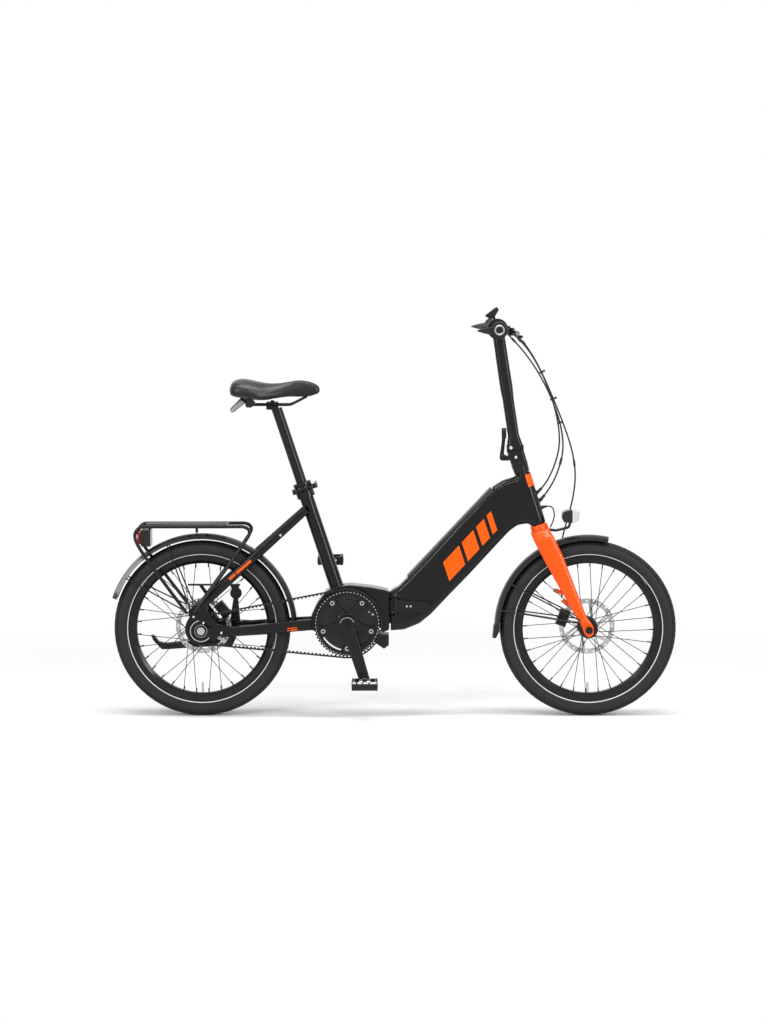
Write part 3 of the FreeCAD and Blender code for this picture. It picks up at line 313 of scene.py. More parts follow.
# %% Finishes of metal, rubber and plastic
M = {
    "frame_paint": finish("frame_paint", (0.0030, 0.0031, 0.0036), 0.14, grain=4200, depth=0.010,
                          spread=0.05, Specular_IOR_Level=0.25),
    "fork_paint": finish("fork_paint", (0.82, 0.080, 0.002), 0.16, grain=3000, depth=0.008,
                         tone=0.08, Specular_IOR_Level=0.22),
    "black_alloy": finish("black_alloy", (0.0046, 0.0046, 0.0050), 0.20, grain=2600, depth=0.02,
                          Specular_IOR_Level=0.26),
    "motor_case": finish("motor_case", (0.0045, 0.0045, 0.0048), 0.34, grain=1500, depth=0.08,
                         Specular_IOR_Level=0.25),
    "steel": finish("steel", (0.44, 0.44, 0.45), 0.26, metal=1.0, grain=1800, depth=0.03),
    "black_steel": finish("black_steel", (0.0035, 0.0035, 0.0040), 0.34, grain=2200, depth=0.03,
                          Specular_IOR_Level=0.2),
    "belt_rubber": finish("belt_rubber", (0.008, 0.008, 0.009), 0.55, grain=1800, depth=0.1,
                          Specular_IOR_Level=0.25),
    "grip_rubber": finish("grip_rubber", (0.010, 0.010, 0.011), 0.6, grain=2400, depth=0.2,
                          Specular_IOR_Level=0.25),
    "black_plastic": finish("black_plastic", (0.0050, 0.0050, 0.0054), 0.28, grain=1700,
                            depth=0.04, Specular_IOR_Level=0.34),
    "battery_case": finish("battery_case", (0.042, 0.042, 0.044), 0.36, grain=1500, depth=0.06,
                           Specular_IOR_Level=0.3),
    "saddle_cover": finish("saddle_cover", (0.010, 0.010, 0.011), 0.42, grain=1100, depth=0.16,
                           Specular_IOR_Level=0.3),
    "lamp_body": finish("lamp_body", (0.008, 0.008, 0.009), 0.2, grain=2000, depth=0.02,
                        Specular_IOR_Level=0.35),
    "cable_jacket": finish("cable_jacket", (0.007, 0.007, 0.008), 0.35, grain=2600, depth=0.03,
                           Specular_IOR_Level=0.28),
    "tyre": finish("tyre", (0.010, 0.010, 0.011), 0.62, grain=1600, depth=0.15,
                   Specular_IOR_Level=0.25),
}
print("finishes", sorted(M))

# %% Small extra finishes
BOLT = finish("bright_bolt", (0.74, 0.74, 0.75), 0.2, metal=1.0, grain=2400, depth=0.02)
# Pale grey: painted light in the sprocket's slots, and a band along the top of each pedal's outer
# end.
PALE_GREY = finish("pale_print", (0.55, 0.55, 0.56), 0.4, grain=3000, depth=0.01, tone=0.05)
ORANGE_PRINT = finish("orange_print", (0.86, 0.10, 0.003), 0.3, grain=3000, depth=0.01,
                      tone=0.05, Specular_IOR_Level=0.16)
GREY_PLASTIC = finish("grey_plastic", (0.075, 0.075, 0.078), 0.42, grain=1500, depth=0.05)
AMBER = finish("amber_reflector", (0.82, 0.22, 0.02), 0.18, grain=500, depth=0.3, tone=0.1)
RED = finish("red_reflector", (0.42, 0.012, 0.01), 0.16, grain=500, depth=0.3, tone=0.1)
LENS = finish("clear_lens", (0.50, 0.53, 0.56), 0.08, grain=420, depth=0.3, tone=0.1)
SCREEN = finish("dark_glass", (0.012, 0.014, 0.016), 0.06, grain=900, depth=0.0)


def finish_nodes():
    """Gives every solid the finish of its material slot."""
    slots = {part["node"]: part["material_slot"] for part in frame["record"]["subparts"]}
    for name, node in NODES.items():
        node.material_slots[0].material = M[slots[name]]
    return slots


SLOTS = finish_nodes()
print("finished", len(SLOTS), "solids")

# %% [markdown]
# ## Tools for making pieces
# Every new piece is a plain mesh at the origin; all but the hoses, the cable, the lamp wire and
# their ties ride on one body of the bicycle. Three makers cover most shapes: a lathe for what is
# turned round an axle, a ring that repeats a shape round an axle, and a run that repeats it along
# a line. The last two are Geometry Nodes, so one change of a number moves every slot or tread
# block at once.

# %% New pieces
REAR_HUB = Vector((-0.545, 0.0, 0.2525))
FRONT_HUB = Vector((0.561, 0.0, 0.2525))


def piece(name, mesh, material, body, slot, *stands_for):
    """Puts a mesh in the scene with its finish, on its body if it is given one."""
    made = bpy.data.objects.new(name, mesh)
    scene.collection.objects.link(made)
    if material is not None:
        mesh.materials.clear()
        mesh.materials.append(material)
    if body:
        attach(made, body)
    if stands_for:
        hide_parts(*stands_for)
    print(name, len(mesh.polygons), "faces on", body or "two bodies")
    return made


def mesh_from(bm, name, smooth=32.0):
    """Closes a bmesh into a mesh whose gentle edges shade smooth."""
    mesh = bpy.data.meshes.new(name)
    bm.to_mesh(mesh)
    bm.free()
    mesh.shade_smooth()
    mesh.set_sharp_from_angle(angle=math.radians(smooth))
    return mesh


def baked(thing, name):
    """The evaluated object as a plain mesh; the object itself is thrown away."""
    bpy.context.view_layer.update()
    seen = thing.evaluated_get(bpy.context.evaluated_depsgraph_get())
    mesh = bpy.data.meshes.new_from_object(seen)
    mesh.name = name
    bpy.data.objects.remove(thing)
    return mesh

# %% Skin over rings and lathe
def ring_skin(bm, rings, looped=False):
    """Faces from each ring of points to the next, with end caps unless the last meets the first."""
    count = len(rings[0])
    for ring, after in zip(rings, rings[1:] + (rings[:1] if looped else [])):
        for a in range(count):
            b = (a + 1) % count
            bm.faces.new((ring[a], ring[b], after[b], after[a]))
    if not looped:
        bm.faces.new(rings[0])
        bm.faces.new(rings[-1])
    bmesh.ops.recalc_face_normals(bm, faces=bm.faces)


def lathe(outline, hub, steps=160, closed=True):
    """Turns an outline of (y, radius) round the axle at hub. Returns a bmesh."""
    bm = bmesh.new()
    rings = []
    for step in range(steps):
        angle = math.tau * step / steps
        way = Vector((math.cos(angle), 0.0, math.sin(angle)))
        rings.append([bm.verts.new(hub + way * radius + Vector((0, y, 0)))
                      for y, radius in outline])
    count = len(outline) if closed else len(outline) - 1
    for ring, after in zip(rings, rings[1:] + rings[:1]):
        for a in range(count):
            b = (a + 1) % len(outline)
            bm.faces.new((ring[a], ring[b], after[b], after[a]))
    bmesh.ops.remove_doubles(bm, verts=bm.verts, dist=1e-6)
    bmesh.ops.recalc_face_normals(bm, faces=bm.faces)
    return bm

# %% Smooth skin from a solid
def skin_of(node, smooth=38.0, extra=()):
    """A welded copy of a solid whose facets shade as one skin."""
    bm = bmesh.new()
    bm.from_mesh(NODES[node].data)
    bmesh.ops.remove_doubles(bm, verts=bm.verts, dist=2e-5)
    mesh = bpy.data.meshes.new(node + "_skin")
    bm.to_mesh(mesh)
    bm.free()
    if mesh.attributes.get("custom_normal"):
        mesh.attributes.remove(mesh.attributes["custom_normal"])
    mesh.shade_smooth()
    mesh.set_sharp_from_angle(angle=math.radians(smooth))
    mesh.materials.clear()
    for material in (M[SLOTS[node]], *extra):
        mesh.materials.append(material)
    return mesh


def islands(mesh):
    """The loose parts of a mesh: for each, its faces and its lowest and highest corner."""
    bm = bmesh.new()
    bm.from_mesh(mesh)
    left = set(bm.faces)
    found = []
    for start in bm.faces:
        if start not in left:
            continue
        left.discard(start)
        group, edge_of = [start], [start]
        while edge_of:
            face = edge_of.pop()
            for edge in face.edges:
                for other in edge.link_faces:
                    if other in left:
                        left.discard(other)
                        group.append(other)
                        edge_of.append(other)
        points = [v.co for face in group for v in face.verts]
        low = Vector([min(p[k] for p in points) for k in range(3)])
        high = Vector([max(p[k] for p in points) for k in range(3)])
        found.append(([face.index for face in group], low, high))
    bm.free()
    return found


def paint_islands(mesh, choose):
    """Sets the material index of each loose part from its box."""
    for faces, low, high in islands(mesh):
        index = choose(low, high)
        for face in faces:
            mesh.polygons[face].material_index = index


def smooth_piece(node, choose=None, smooth=38.0, extra=()):
    """Replaces a solid by its smooth skin, on the same body."""
    mesh = skin_of(node, smooth, extra)
    if choose:
        paint_islands(mesh, choose)
    return piece(node + "_skin", mesh, None, NODES[node]["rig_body"], SLOTS[node], node)

# %% Repeating with Geometry Nodes
def geometry_tree(name, inputs):
    """An empty geometry tree with named inputs: (name, type, value)."""
    tree = bpy.data.node_groups.new(name, "GeometryNodeTree")
    tree.interface.new_socket("Geometry", in_out="INPUT", socket_type="NodeSocketGeometry")
    tree.interface.new_socket("Geometry", in_out="OUTPUT", socket_type="NodeSocketGeometry")
    for label, kind, value in inputs:
        socket = tree.interface.new_socket(label, in_out="INPUT", socket_type=kind)
        if value is not None:
            socket.default_value = value
    return tree, node_of(tree, "NodeGroupInput"), node_of(tree, "NodeGroupOutput")


def grown(tree, base, name, **values):
    """Runs a geometry tree on a base mesh or curve with these inputs; returns a plain mesh."""
    carrier = bpy.data.objects.new(name, base)
    scene.collection.objects.link(carrier)
    modifier = carrier.modifiers.new(name, "NODES")
    modifier.node_group = tree
    for item in tree.interface.items_tree:
        key = item.name.replace(" ", "_")
        if item.item_type == "SOCKET" and item.in_out == "INPUT" and key in values:
            modifier[item.identifier] = values[key]
    return baked(carrier, name)


def real_and_painted(tree, place, given, out):
    """Ends a tree: its instances become real geometry in the given finish."""
    real = node_of(tree, "GeometryNodeRealizeInstances")
    paint = node_of(tree, "GeometryNodeSetMaterial")
    join(tree, place, 0, real, 0)
    join(tree, real, 0, paint, "Geometry")
    join(tree, given, "Finish", paint, "Material")
    join(tree, paint, 0, out, 0)
    return tree


def make_ring_tree():
    """Repeats a shape round the y axis; the shape's own x points outwards."""
    tree, given, out = geometry_tree("ring_repeat", [
        ("Shape", "NodeSocketObject", None), ("Count", "NodeSocketInt", 12),
        ("First turn", "NodeSocketFloat", 0.0), ("Finish", "NodeSocketMaterial", None)])
    points = node_of(tree, "GeometryNodePoints")
    index = node_of(tree, "GeometryNodeInputIndex")
    share = node_of(tree, "ShaderNodeMath", operation="DIVIDE")
    turn = node_of(tree, "ShaderNodeMath", operation="ADD")
    angle = node_of(tree, "ShaderNodeMath", operation="MULTIPLY")
    angle.inputs[1].default_value = -math.tau
    euler = node_of(tree, "ShaderNodeCombineXYZ")
    shape = node_of(tree, "GeometryNodeObjectInfo")
    place = node_of(tree, "GeometryNodeInstanceOnPoints")
    join(tree, given, "Count", points, "Count")
    join(tree, index, 0, share, 0)
    join(tree, given, "Count", share, 1)
    join(tree, share, 0, turn, 0)
    join(tree, given, "First turn", turn, 1)
    join(tree, turn, 0, angle, 0)
    join(tree, angle, 0, euler, "Y")
    join(tree, given, "Shape", shape, "Object")
    join(tree, points, 0, place, "Points")
    join(tree, shape, "Geometry", place, "Instance")
    join(tree, euler, 0, place, "Rotation")
    return real_and_painted(tree, place, given, out)


def make_run_tree():
    """Repeats a shape along a curve; the shape's own x follows the line."""
    tree, given, out = geometry_tree("run_repeat", [
        ("Shape", "NodeSocketObject", None), ("Count", "NodeSocketInt", 12),
        ("Finish", "NodeSocketMaterial", None)])
    points = node_of(tree, "GeometryNodeCurveToPoints")
    shape = node_of(tree, "GeometryNodeObjectInfo")
    split = node_of(tree, "ShaderNodeSeparateXYZ")
    angle = node_of(tree, "ShaderNodeMath", operation="ARCTAN2")
    back = node_of(tree, "ShaderNodeMath", operation="MULTIPLY")
    back.inputs[1].default_value = -1.0
    euler = node_of(tree, "ShaderNodeCombineXYZ")
    place = node_of(tree, "GeometryNodeInstanceOnPoints")
    join(tree, given, "Geometry", points, "Curve")
    join(tree, given, "Count", points, "Count")
    join(tree, given, "Shape", shape, "Object")
    join(tree, points, "Tangent", split, 0)
    join(tree, split, "Z", angle, 0)
    join(tree, split, "X", angle, 1)
    join(tree, angle, 0, back, 0)
    join(tree, back, 0, euler, "Y")
    join(tree, points, "Points", place, "Points")
    join(tree, shape, "Geometry", place, "Instance")
    join(tree, euler, 0, place, "Rotation")
    return real_and_painted(tree, place, given, out)


RING = make_ring_tree()
RUN_TREE = make_run_tree()


def ring_of(name, shape_bm, count, first, material, hub):
    """A mesh of a shape repeated round an axle."""
    template = bpy.data.objects.new(name + "_one", mesh_from(shape_bm, name + "_one"))
    scene.collection.objects.link(template)
    mesh = grown(RING, bpy.data.meshes.new(name), name, Shape=template, Count=count,
                 First_turn=first, Finish=material)
    bpy.data.objects.remove(template)
    mesh.transform(Matrix.Translation(hub))
    return mesh


def box_bm(low, high, taper=0.0):
    """A block whose outer x face is smaller by taper on each side."""
    bm = bmesh.new()
    bmesh.ops.create_cube(bm, size=1.0)
    for v in bm.verts:
        narrow = taper if v.co.x > 0 else 0.0
        for k in range(3):
            inset = narrow if k else 0.0
            v.co[k] = (high[k] - inset) if v.co[k] > 0 else (low[k] + inset)
    return bm


print("trees", RING.name, RUN_TREE.name)

# %% [markdown]
# ## Tyres
# A city tyre has a smooth middle band for easy rolling, slanted blocks on the shoulders for
# wet corners, a ribbed side and a pale reflective line near the rim. The carcass is a lathe
# shape. The blocks repeat exactly, so one block goes round the wheel with Geometry Nodes. The
# pale line and the side ribs only depend on the distance from the axle, so they are a pattern
# in the material.

# %% Pattern round an axle
def make_ring_pattern():
    """Distance from an axle and turn about it, for whatever runs round a wheel."""
    tree, given, out = group("ring_pattern", [("Axle", "NodeSocketVector", (0.0, 0.0, 0.0))],
                             [("Radius", "NodeSocketFloat"), ("Turn", "NodeSocketFloat")])
    place = node_of(tree, "ShaderNodeTexCoord")
    off = node_of(tree, "ShaderNodeVectorMath", operation="SUBTRACT")
    split = node_of(tree, "ShaderNodeSeparateXYZ")
    flat = node_of(tree, "ShaderNodeCombineXYZ")
    length = node_of(tree, "ShaderNodeVectorMath", operation="LENGTH")
    turn = node_of(tree, "ShaderNodeMath", operation="ARCTAN2")
    join(tree, place, "Object", off, 0)
    join(tree, given, 0, off, 1)
    join(tree, off, 0, split, 0)
    join(tree, split, "X", flat, "X")
    join(tree, split, "Z", flat, "Z")
    join(tree, flat, 0, length, 0)
    join(tree, split, "Z", turn, 0)
    join(tree, split, "X", turn, 1)
    join(tree, length, "Value", out, 0)
    join(tree, turn, 0, out, 1)
    return tree


RING_PATTERN = make_ring_pattern()


def near(tree, value, centre, width):
    """1 where a value lies within width of centre, else 0."""
    test = node_of(tree, "ShaderNodeMath", operation="COMPARE")
    tree.links.new(value, test.inputs[0])
    test.inputs[1].default_value = centre
    test.inputs[2].default_value = width
    return test.outputs[0]


def mixed_colour(tree, share, first, second):
    """A blend from a linked colour to a plain one."""
    mix = node_of(tree, "ShaderNodeMix", data_type="RGBA")
    tree.links.new(share, mix.inputs[0])
    tree.links.new(first, mix.inputs[6])
    mix.inputs[7].default_value = (*second, 1)
    return mix.outputs[2]


def ribs(tree, value, pitch, share, depth):
    """Waves of one pitch where share is 1, as a bump that starts from the fine relief."""
    wave = node_of(tree, "ShaderNodeMath", operation="SINE")
    scale = node_of(tree, "ShaderNodeMath", operation="MULTIPLY")
    scale.inputs[1].default_value = math.tau / pitch
    only = node_of(tree, "ShaderNodeMath", operation="MULTIPLY")
    bump = node_of(tree, "ShaderNodeBump", Distance=0.001, Strength=depth)
    tree.links.new(value, scale.inputs[0])
    join(tree, scale, 0, wave, 0)
    join(tree, wave, 0, only, 0)
    tree.links.new(share, only.inputs[1])
    join(tree, only, 0, bump, "Height")
    shader = tree.nodes["Principled BSDF"]
    before = shader.inputs["Normal"].links[0].from_socket
    tree.links.new(before, bump.inputs["Normal"])
    join(tree, bump, 0, shader, "Normal")

# %% Tyre finish
LINE_RADIUS, LINE_HALF = 0.2132, 0.0012       # the pale line: its radius and half its width
SIDE_RADIUS, SIDE_HALF = 0.2235, 0.0075       # the ribbed band of the side
RIB_PITCH = 0.0021


def tyre_finish(name, axle):
    """Black rubber with a pale reflective line and ribs on its sides."""
    material = finish(name, (0.0135, 0.0135, 0.014), 0.62, grain=1600, depth=0.15,
                      Specular_IOR_Level=0.25)
    tree = material.node_tree
    shader = tree.nodes["Principled BSDF"]
    ring = put_group(tree, RING_PATTERN, {"Axle": axle}, (-1000, 0))
    line = near(tree, ring.outputs["Radius"], LINE_RADIUS, LINE_HALF)
    base = shader.inputs["Base Color"].links[0].from_socket
    tree.links.new(mixed_colour(tree, line, base, (0.60, 0.60, 0.61)),
                   shader.inputs["Base Color"])
    side = near(tree, ring.outputs["Radius"], SIDE_RADIUS, SIDE_HALF)
    ribs(tree, ring.outputs["Radius"], RIB_PITCH, side, 0.35)
    return material


TYRE_FINISH = {"rear": tyre_finish("rear_tyre_rubber", REAR_HUB),
               "front": tyre_finish("front_tyre_rubber", FRONT_HUB)}
print("tyre finishes", [m.name for m in TYRE_FINISH.values()])

# %% Tyre shapes
CROWN = 0.2275            # radius of the ring that the tyre's round section follows
BLOCKS = 92               # tread blocks on each shoulder


def carcass():
    """Outline of a tyre: middle band, sunken shoulders, sides, feet and inner wall."""
    outline = []
    for degrees in range(-128, 129, 4):
        turn = math.radians(degrees)
        size = 0.025 if abs(degrees) <= 12 else 0.0229 if abs(degrees) <= 52 else 0.0247
        outline.append((size * math.sin(turn), CROWN + size * math.cos(turn)))
    outline += [(0.0166, 0.2094), (0.0137, 0.2094)]
    for degrees in range(120, -121, -20):
        turn = math.radians(degrees)
        outline.append((0.0205 * math.sin(turn), CROWN + 0.0205 * math.cos(turn)))
    return outline + [(-0.0137, 0.2094), (-0.0166, 0.2094)]


def tread_block(side):
    """One slanted block that wraps over a shoulder of the tyre."""
    bm = bmesh.new()
    rows = []
    for share in (0.0, 0.3, 0.65, 1.0):
        turn = math.radians(16.0 + 34.0 * share)
        reach = 0.0062 - 0.0012 * share
        slant = side * 0.007 * share
        rows.append([bm.verts.new((CROWN + size * math.cos(turn), side * size * math.sin(turn),
                                   along + slant))
                     for size, along in ((0.0224, -reach), (0.0249, -reach + 0.0006),
                                         (0.0249, reach - 0.0006), (0.0224, reach))])
    ring_skin(bm, rows)
    return bm


def joined(name, *meshes):
    """Several meshes as one, each keeping its finish."""
    bm = bmesh.new()
    finishes = []
    for mesh in meshes:
        before = len(bm.faces)
        bm.from_mesh(mesh)
        bm.faces.ensure_lookup_table()
        for face in bm.faces[before:]:
            material = mesh.materials[face.material_index] if mesh.materials else None
            if material not in finishes:
                finishes.append(material)
            face.material_index = finishes.index(material)
    whole = bpy.data.meshes.new(name)
    bm.to_mesh(whole)
    bm.free()
    for material in finishes:
        whole.materials.append(material)
    return whole


def make_tyre(end, hub):
    """Carcass and two rows of blocks as one piece."""
    rubber = TYRE_FINISH[end]
    body = mesh_from(lathe(carcass(), hub, 180), end + "_carcass", 50.0)
    body.materials.append(rubber)
    rows = [ring_of(end + "_blocks", tread_block(side), BLOCKS, first, rubber, hub)
            for side, first in ((1, 0.0), (-1, 0.5 / BLOCKS))]
    return piece(end + "_tyre_tread", joined(end + "_tyre_tread", body, *rows), None,
                 end + "_wheel", "tyre", end + "_tyre")


make_tyre("rear", REAR_HUB)
make_tyre("front", FRONT_HUB)

# %% [markdown]
# ## Rims and nipples
# The rims are black with a bright valve. Each spoke ends in a small nipple that stands out of
# the rim. They sit at equal steps, alternately left and right, so two rings of sixteen do it.

# %% Rims and nipples
def is_small(size):
    """A chooser of loose parts: finish 1 for parts smaller than size, else finish 0."""
    return lambda low, high: int(max(high - low) < size)


def nipple():
    """A small turned ferrule, its own x pointing away from the axle."""
    bm = bmesh.new()
    bmesh.ops.create_cone(bm, cap_ends=True, segments=10, radius1=0.0016, radius2=0.0021,
                          depth=0.0125)
    bmesh.ops.rotate(bm, verts=bm.verts, matrix=Matrix.Rotation(math.pi / 2, 3, "Y"))
    bmesh.ops.translate(bm, verts=bm.verts, vec=(0.1815, 0, 0))
    return bm


def nipples(end, hub, first, right_y, left_y):
    """Thirty-two nipples of one wheel as one piece."""
    rows = []
    for number, y in ((0, right_y), (1, left_y)):
        one = nipple()
        bmesh.ops.translate(one, verts=one.verts, vec=(0, y, 0))
        rows.append(ring_of(end + "_nipples", one, 16, first + (number + 0.5) / 32,
                            M["black_steel"], hub))
    piece(end + "_nipples", joined(end + "_nipples", *rows), None, end + "_wheel",
          "black_steel")


for end in ("rear", "front"):
    smooth_piece(end + "_rim", is_small(0.1), 30.0, (M["steel"],))
nipples("rear", REAR_HUB, 0.0, -0.0038, 0.0038)
nipples("front", FRONT_HUB, 4.0 / 360, -0.0037, 0.0029)

# %% [markdown]
# ## Drive
# A toothed belt runs from the big sprocket to the hub. The solids already have its teeth. What
# they lack is the stamped slots just inside the sprocket's teeth, through which light shows.
# They are not cut here: thin pale bars on the sprocket's face paint that light in.

# %% Sprocket slots
CRANK = Vector((-0.129, 0.0, 0.272))


def bar_between(low_r, high_r, half_turn, y0, y1):
    """A slightly curved bar at angle zero, between two radii and two y planes."""
    bm = bmesh.new()
    rows = []
    for share in (-1.0, -0.33, 0.33, 1.0):
        turn = half_turn * share
        rows.append([bm.verts.new((r * math.cos(turn), y, r * math.sin(turn)))
                     for r, y in ((low_r, y0), (high_r, y0), (high_r, y1), (low_r, y1))])
    ring_skin(bm, rows)
    return bm


# Painted light: pale bars on the sprocket's face where light would show through the slots.
face_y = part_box("front_sprocket")[0][1]
slots = ring_of("sprocket_slots", bar_between(0.0892, 0.0904, 0.026, face_y - 0.0004,
                                              face_y + 0.001),
                56, 0.0, PALE_GREY, CRANK)
piece("sprocket_slots", slots, None, "crankset", "steel")
print("sprocket face at y", round(face_y, 4))

# %% [markdown]
# ## Frame skins
# The frame's solids are lofted from a few sections, so their faces are flat strips. Welding
# the strips and shading them as one skin gives the long, calm highlights of painted tube. Cast
# and formed pieces also get their edges worn round.

# %% Smooth skins
# A lighter grey painted on the tail of the rear mudguard as its reflection.
TAIL_REFLECTION_GREY = finish("light_grey_plastic", (0.17, 0.17, 0.175), 0.36, grain=1500, depth=0.04)


def paint_faces(mesh, choose):
    """Sets the material index of each face from its middle."""
    for face in mesh.polygons:
        face.material_index = choose(face.center)


def is_tail_reflection(middle):
    """1 for the last stretch of the rear mudguard, where a lighter grey is painted on as its
    reflection.
    """
    turn = math.degrees(math.atan2(middle.z - REAR_HUB.z, middle.x - REAR_HUB.x))
    return int(131.0 < turn < 157.5)


def softened(node, voxel, passes=3, choose=None, extra=()):
    """Replaces a solid by a copy whose edges are worn round, as casting and paint leave them."""
    thing = bpy.data.objects.new(node + "_soft", skin_of(node, 60.0))
    scene.collection.objects.link(thing)
    even = thing.modifiers.new("even", "REMESH")
    even.mode = "VOXEL"
    even.voxel_size = voxel
    relax = thing.modifiers.new("relax", "SMOOTH")
    relax.factor = 0.5
    relax.iterations = passes
    mesh = baked(thing, node + "_soft")
    mesh.shade_smooth()
    mesh.materials.clear()
    for material in (M[SLOTS[node]], *extra):
        mesh.materials.append(material)
    if choose:
        paint_faces(mesh, choose)
    return piece(node + "_soft", mesh, None, NODES[node]["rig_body"], SLOTS[node], node)


for node, voxel, passes in (("front_frame_tube", 0.0024, 14), ("rear_frame_casting", 0.0022, 10),
                            ("fork", 0.0020, 16), ("stem_base", 0.0014, 9),
                            ("crank_arm_right", 0.0013, 4), ("crank_arm_left", 0.0016, 4),
                            ("motor_unit", 0.0020, 3), ("frame_latch_lever", 0.0010, 3),
                            ("front_caliper", 0.0010, 4), ("rear_caliper", 0.0012, 4),
                            ("kickstand_leg", 0.0014, 4), ("stem_latch_lever", 0.0010, 4),
                            ("saddle_clamp", 0.0010, 4), ("sprocket_spider", 0.0010, 2)):
    softened(node, voxel, passes)
for node in ("handlepost", "seatstays", "chainstays"):
    smooth_piece(node)
softened("headlamp", 0.0011, 3, lambda middle: int(middle.x > 0.514 and middle.z > 0.553),
         (LENS,))
smooth_piece("front_fender", None, 40.0)
# The tail of the rear mudguard gets a painted reflection in lighter grey.
guard = skin_of("rear_fender", 40.0, (TAIL_REFLECTION_GREY,))
paint_faces(guard, is_tail_reflection)
piece("rear_fender_skin", guard, None, "rear_frame", "black_plastic", "rear_fender")
smooth_piece("tail_light", lambda low, high: int(high.x < -0.71), 35.0, (RED,))
smooth_piece("saddle_rails", lambda low, high: int(high.x < -0.41), 35.0, (GREY_PLASTIC,))

# %% [markdown]
# ## Print on the frame
# The frame carries flat orange print. A print is a thin sheet that lies on curved paint, so
# its grid points are thrown sideways onto the solid and lifted by a third of a millimetre. The
# motif is plain slanted bars that shorten up the tube.

# %% Lay a print on a solid
PRINT_LIFT = 0.00032     # how far a print stands over the paint
PRINT_SINK = 0.0002      # and how far its back lies under it


def tree_of(node):
    """A search tree of a solid's faces."""
    mesh = NODES[node].data
    return BVHTree.FromPolygons([v.co for v in mesh.vertices],
                                [tuple(f.vertices) for f in mesh.polygons])


def laid(bm, solid, corners, side, columns=12, rows=6):
    """Lays a four-cornered print of (x, z) points on a solid, seen from one side."""
    low_a, low_b, high_b, high_a = [Vector((x, 0, z)) for x, z in corners]
    grid = []
    for row in range(rows + 1):
        start = low_a.lerp(high_a, row / rows)
        end = low_b.lerp(high_b, row / rows)
        line = []
        for column in range(columns + 1):
            spot = start.lerp(end, column / columns) + Vector((0, side, 0))
            hit, normal = solid.ray_cast(spot, Vector((0, -side, 0)))[:2]
            line.append((hit + normal * PRINT_LIFT, hit - normal * PRINT_SINK) if hit else None)
        grid.append(line)
    if any(spot is None for line in grid for spot in line):
        print("print misses the solid", corners)
        return
    skins = [[[bm.verts.new(spot[layer]) for spot in line] for line in grid] for layer in (0, 1)]
    for skin in skins:
        for row, after in zip(skin, skin[1:]):
            for a in range(columns):
                bm.faces.new((row[a], row[a + 1], after[a + 1], after[a]))
    rims = [[(row, 0) for row in range(rows + 1)], [(row, columns) for row in range(rows + 1)],
            [(0, a) for a in range(columns + 1)], [(rows, a) for a in range(columns + 1)]]
    for rim in rims:
        for (r0, c0), (r1, c1) in zip(rim, rim[1:]):
            bm.faces.new((skins[0][r0][c0], skins[0][r1][c1], skins[1][r1][c1],
                          skins[1][r0][c0]))


def bar(start, along, across, first, last, low, high, lean):
    """Corners of a leaning bar, given along and across a line."""
    def spot(s, t):
        return (start[0] + along[0] * (s + lean * t) + across[0] * t,
                start[1] + along[1] * (s + lean * t) + across[1] * t)
    return spot(first, low), spot(last, low), spot(last, high), spot(first, high)


def print_piece(name, node, bars, side, material):
    """All the bars of one print as one thin piece on the solid's body."""
    bm = bmesh.new()
    solid = tree_of(node)
    for corners in bars:
        laid(bm, solid, corners, side)
    bmesh.ops.recalc_face_normals(bm, faces=bm.faces)
    piece(name, mesh_from(bm, name, 60.0), material, NODES[node]["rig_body"], SLOTS[node])

# %% The prints
TUBE_WAY = Vector((0.68, 0.733))
TUBE_ACROSS = Vector((-0.733, 0.68))
MOTIF = [(0.0, 0.066), (0.078, 0.126), (0.138, 0.170), (0.182, 0.200)]
for side, label in ((-1, "right"), (1, "left")):
    bars = [bar((0.154, 0.417), TUBE_WAY, TUBE_ACROSS, first, last, -0.024, 0.026, 0.55)
            for first, last in MOTIF]
    print_piece("down_tube_print_" + label, "front_frame_tube", bars, side, ORANGE_PRINT)

STAY_WAY = Vector((0.758, 0.652))
STAY_ACROSS = Vector((-0.652, 0.758))
stay_bars = [bar((-0.464, 0.399), STAY_WAY, STAY_ACROSS, first, last, -0.0034, 0.0034, 0.4)
             for first, last in ((0.0, 0.022), (0.026, 0.081))]
print_piece("seat_stay_print", "seatstays", stay_bars, -1, ORANGE_PRINT)
FLAT, UP = Vector((1.0, 0.06)), Vector((0.0, 1.0))
print_piece("chain_stay_print", "chainstays",
            [bar((-0.300, 0.2560), FLAT, UP, 0.0, 0.028, 0.0, 0.0022, 0.0),
             bar((-0.300, 0.2505), FLAT, UP, 0.0, 0.006, -0.0012, 0.0022, 0.0),
             bar((-0.300, 0.2505), FLAT, UP, 0.009, 0.029, -0.0012, 0.0022, 0.0)],
            -1, ORANGE_PRINT)

# %% Band on the head tube
HEAD_LOW, HEAD_HIGH = Vector((0.4176, 0, 0.551)), Vector((0.371, 0, 0.698))
HEAD_UP = (HEAD_HIGH - HEAD_LOW).normalized()
HEAD_AHEAD = Vector((HEAD_UP.z, 0, -HEAD_UP.x))


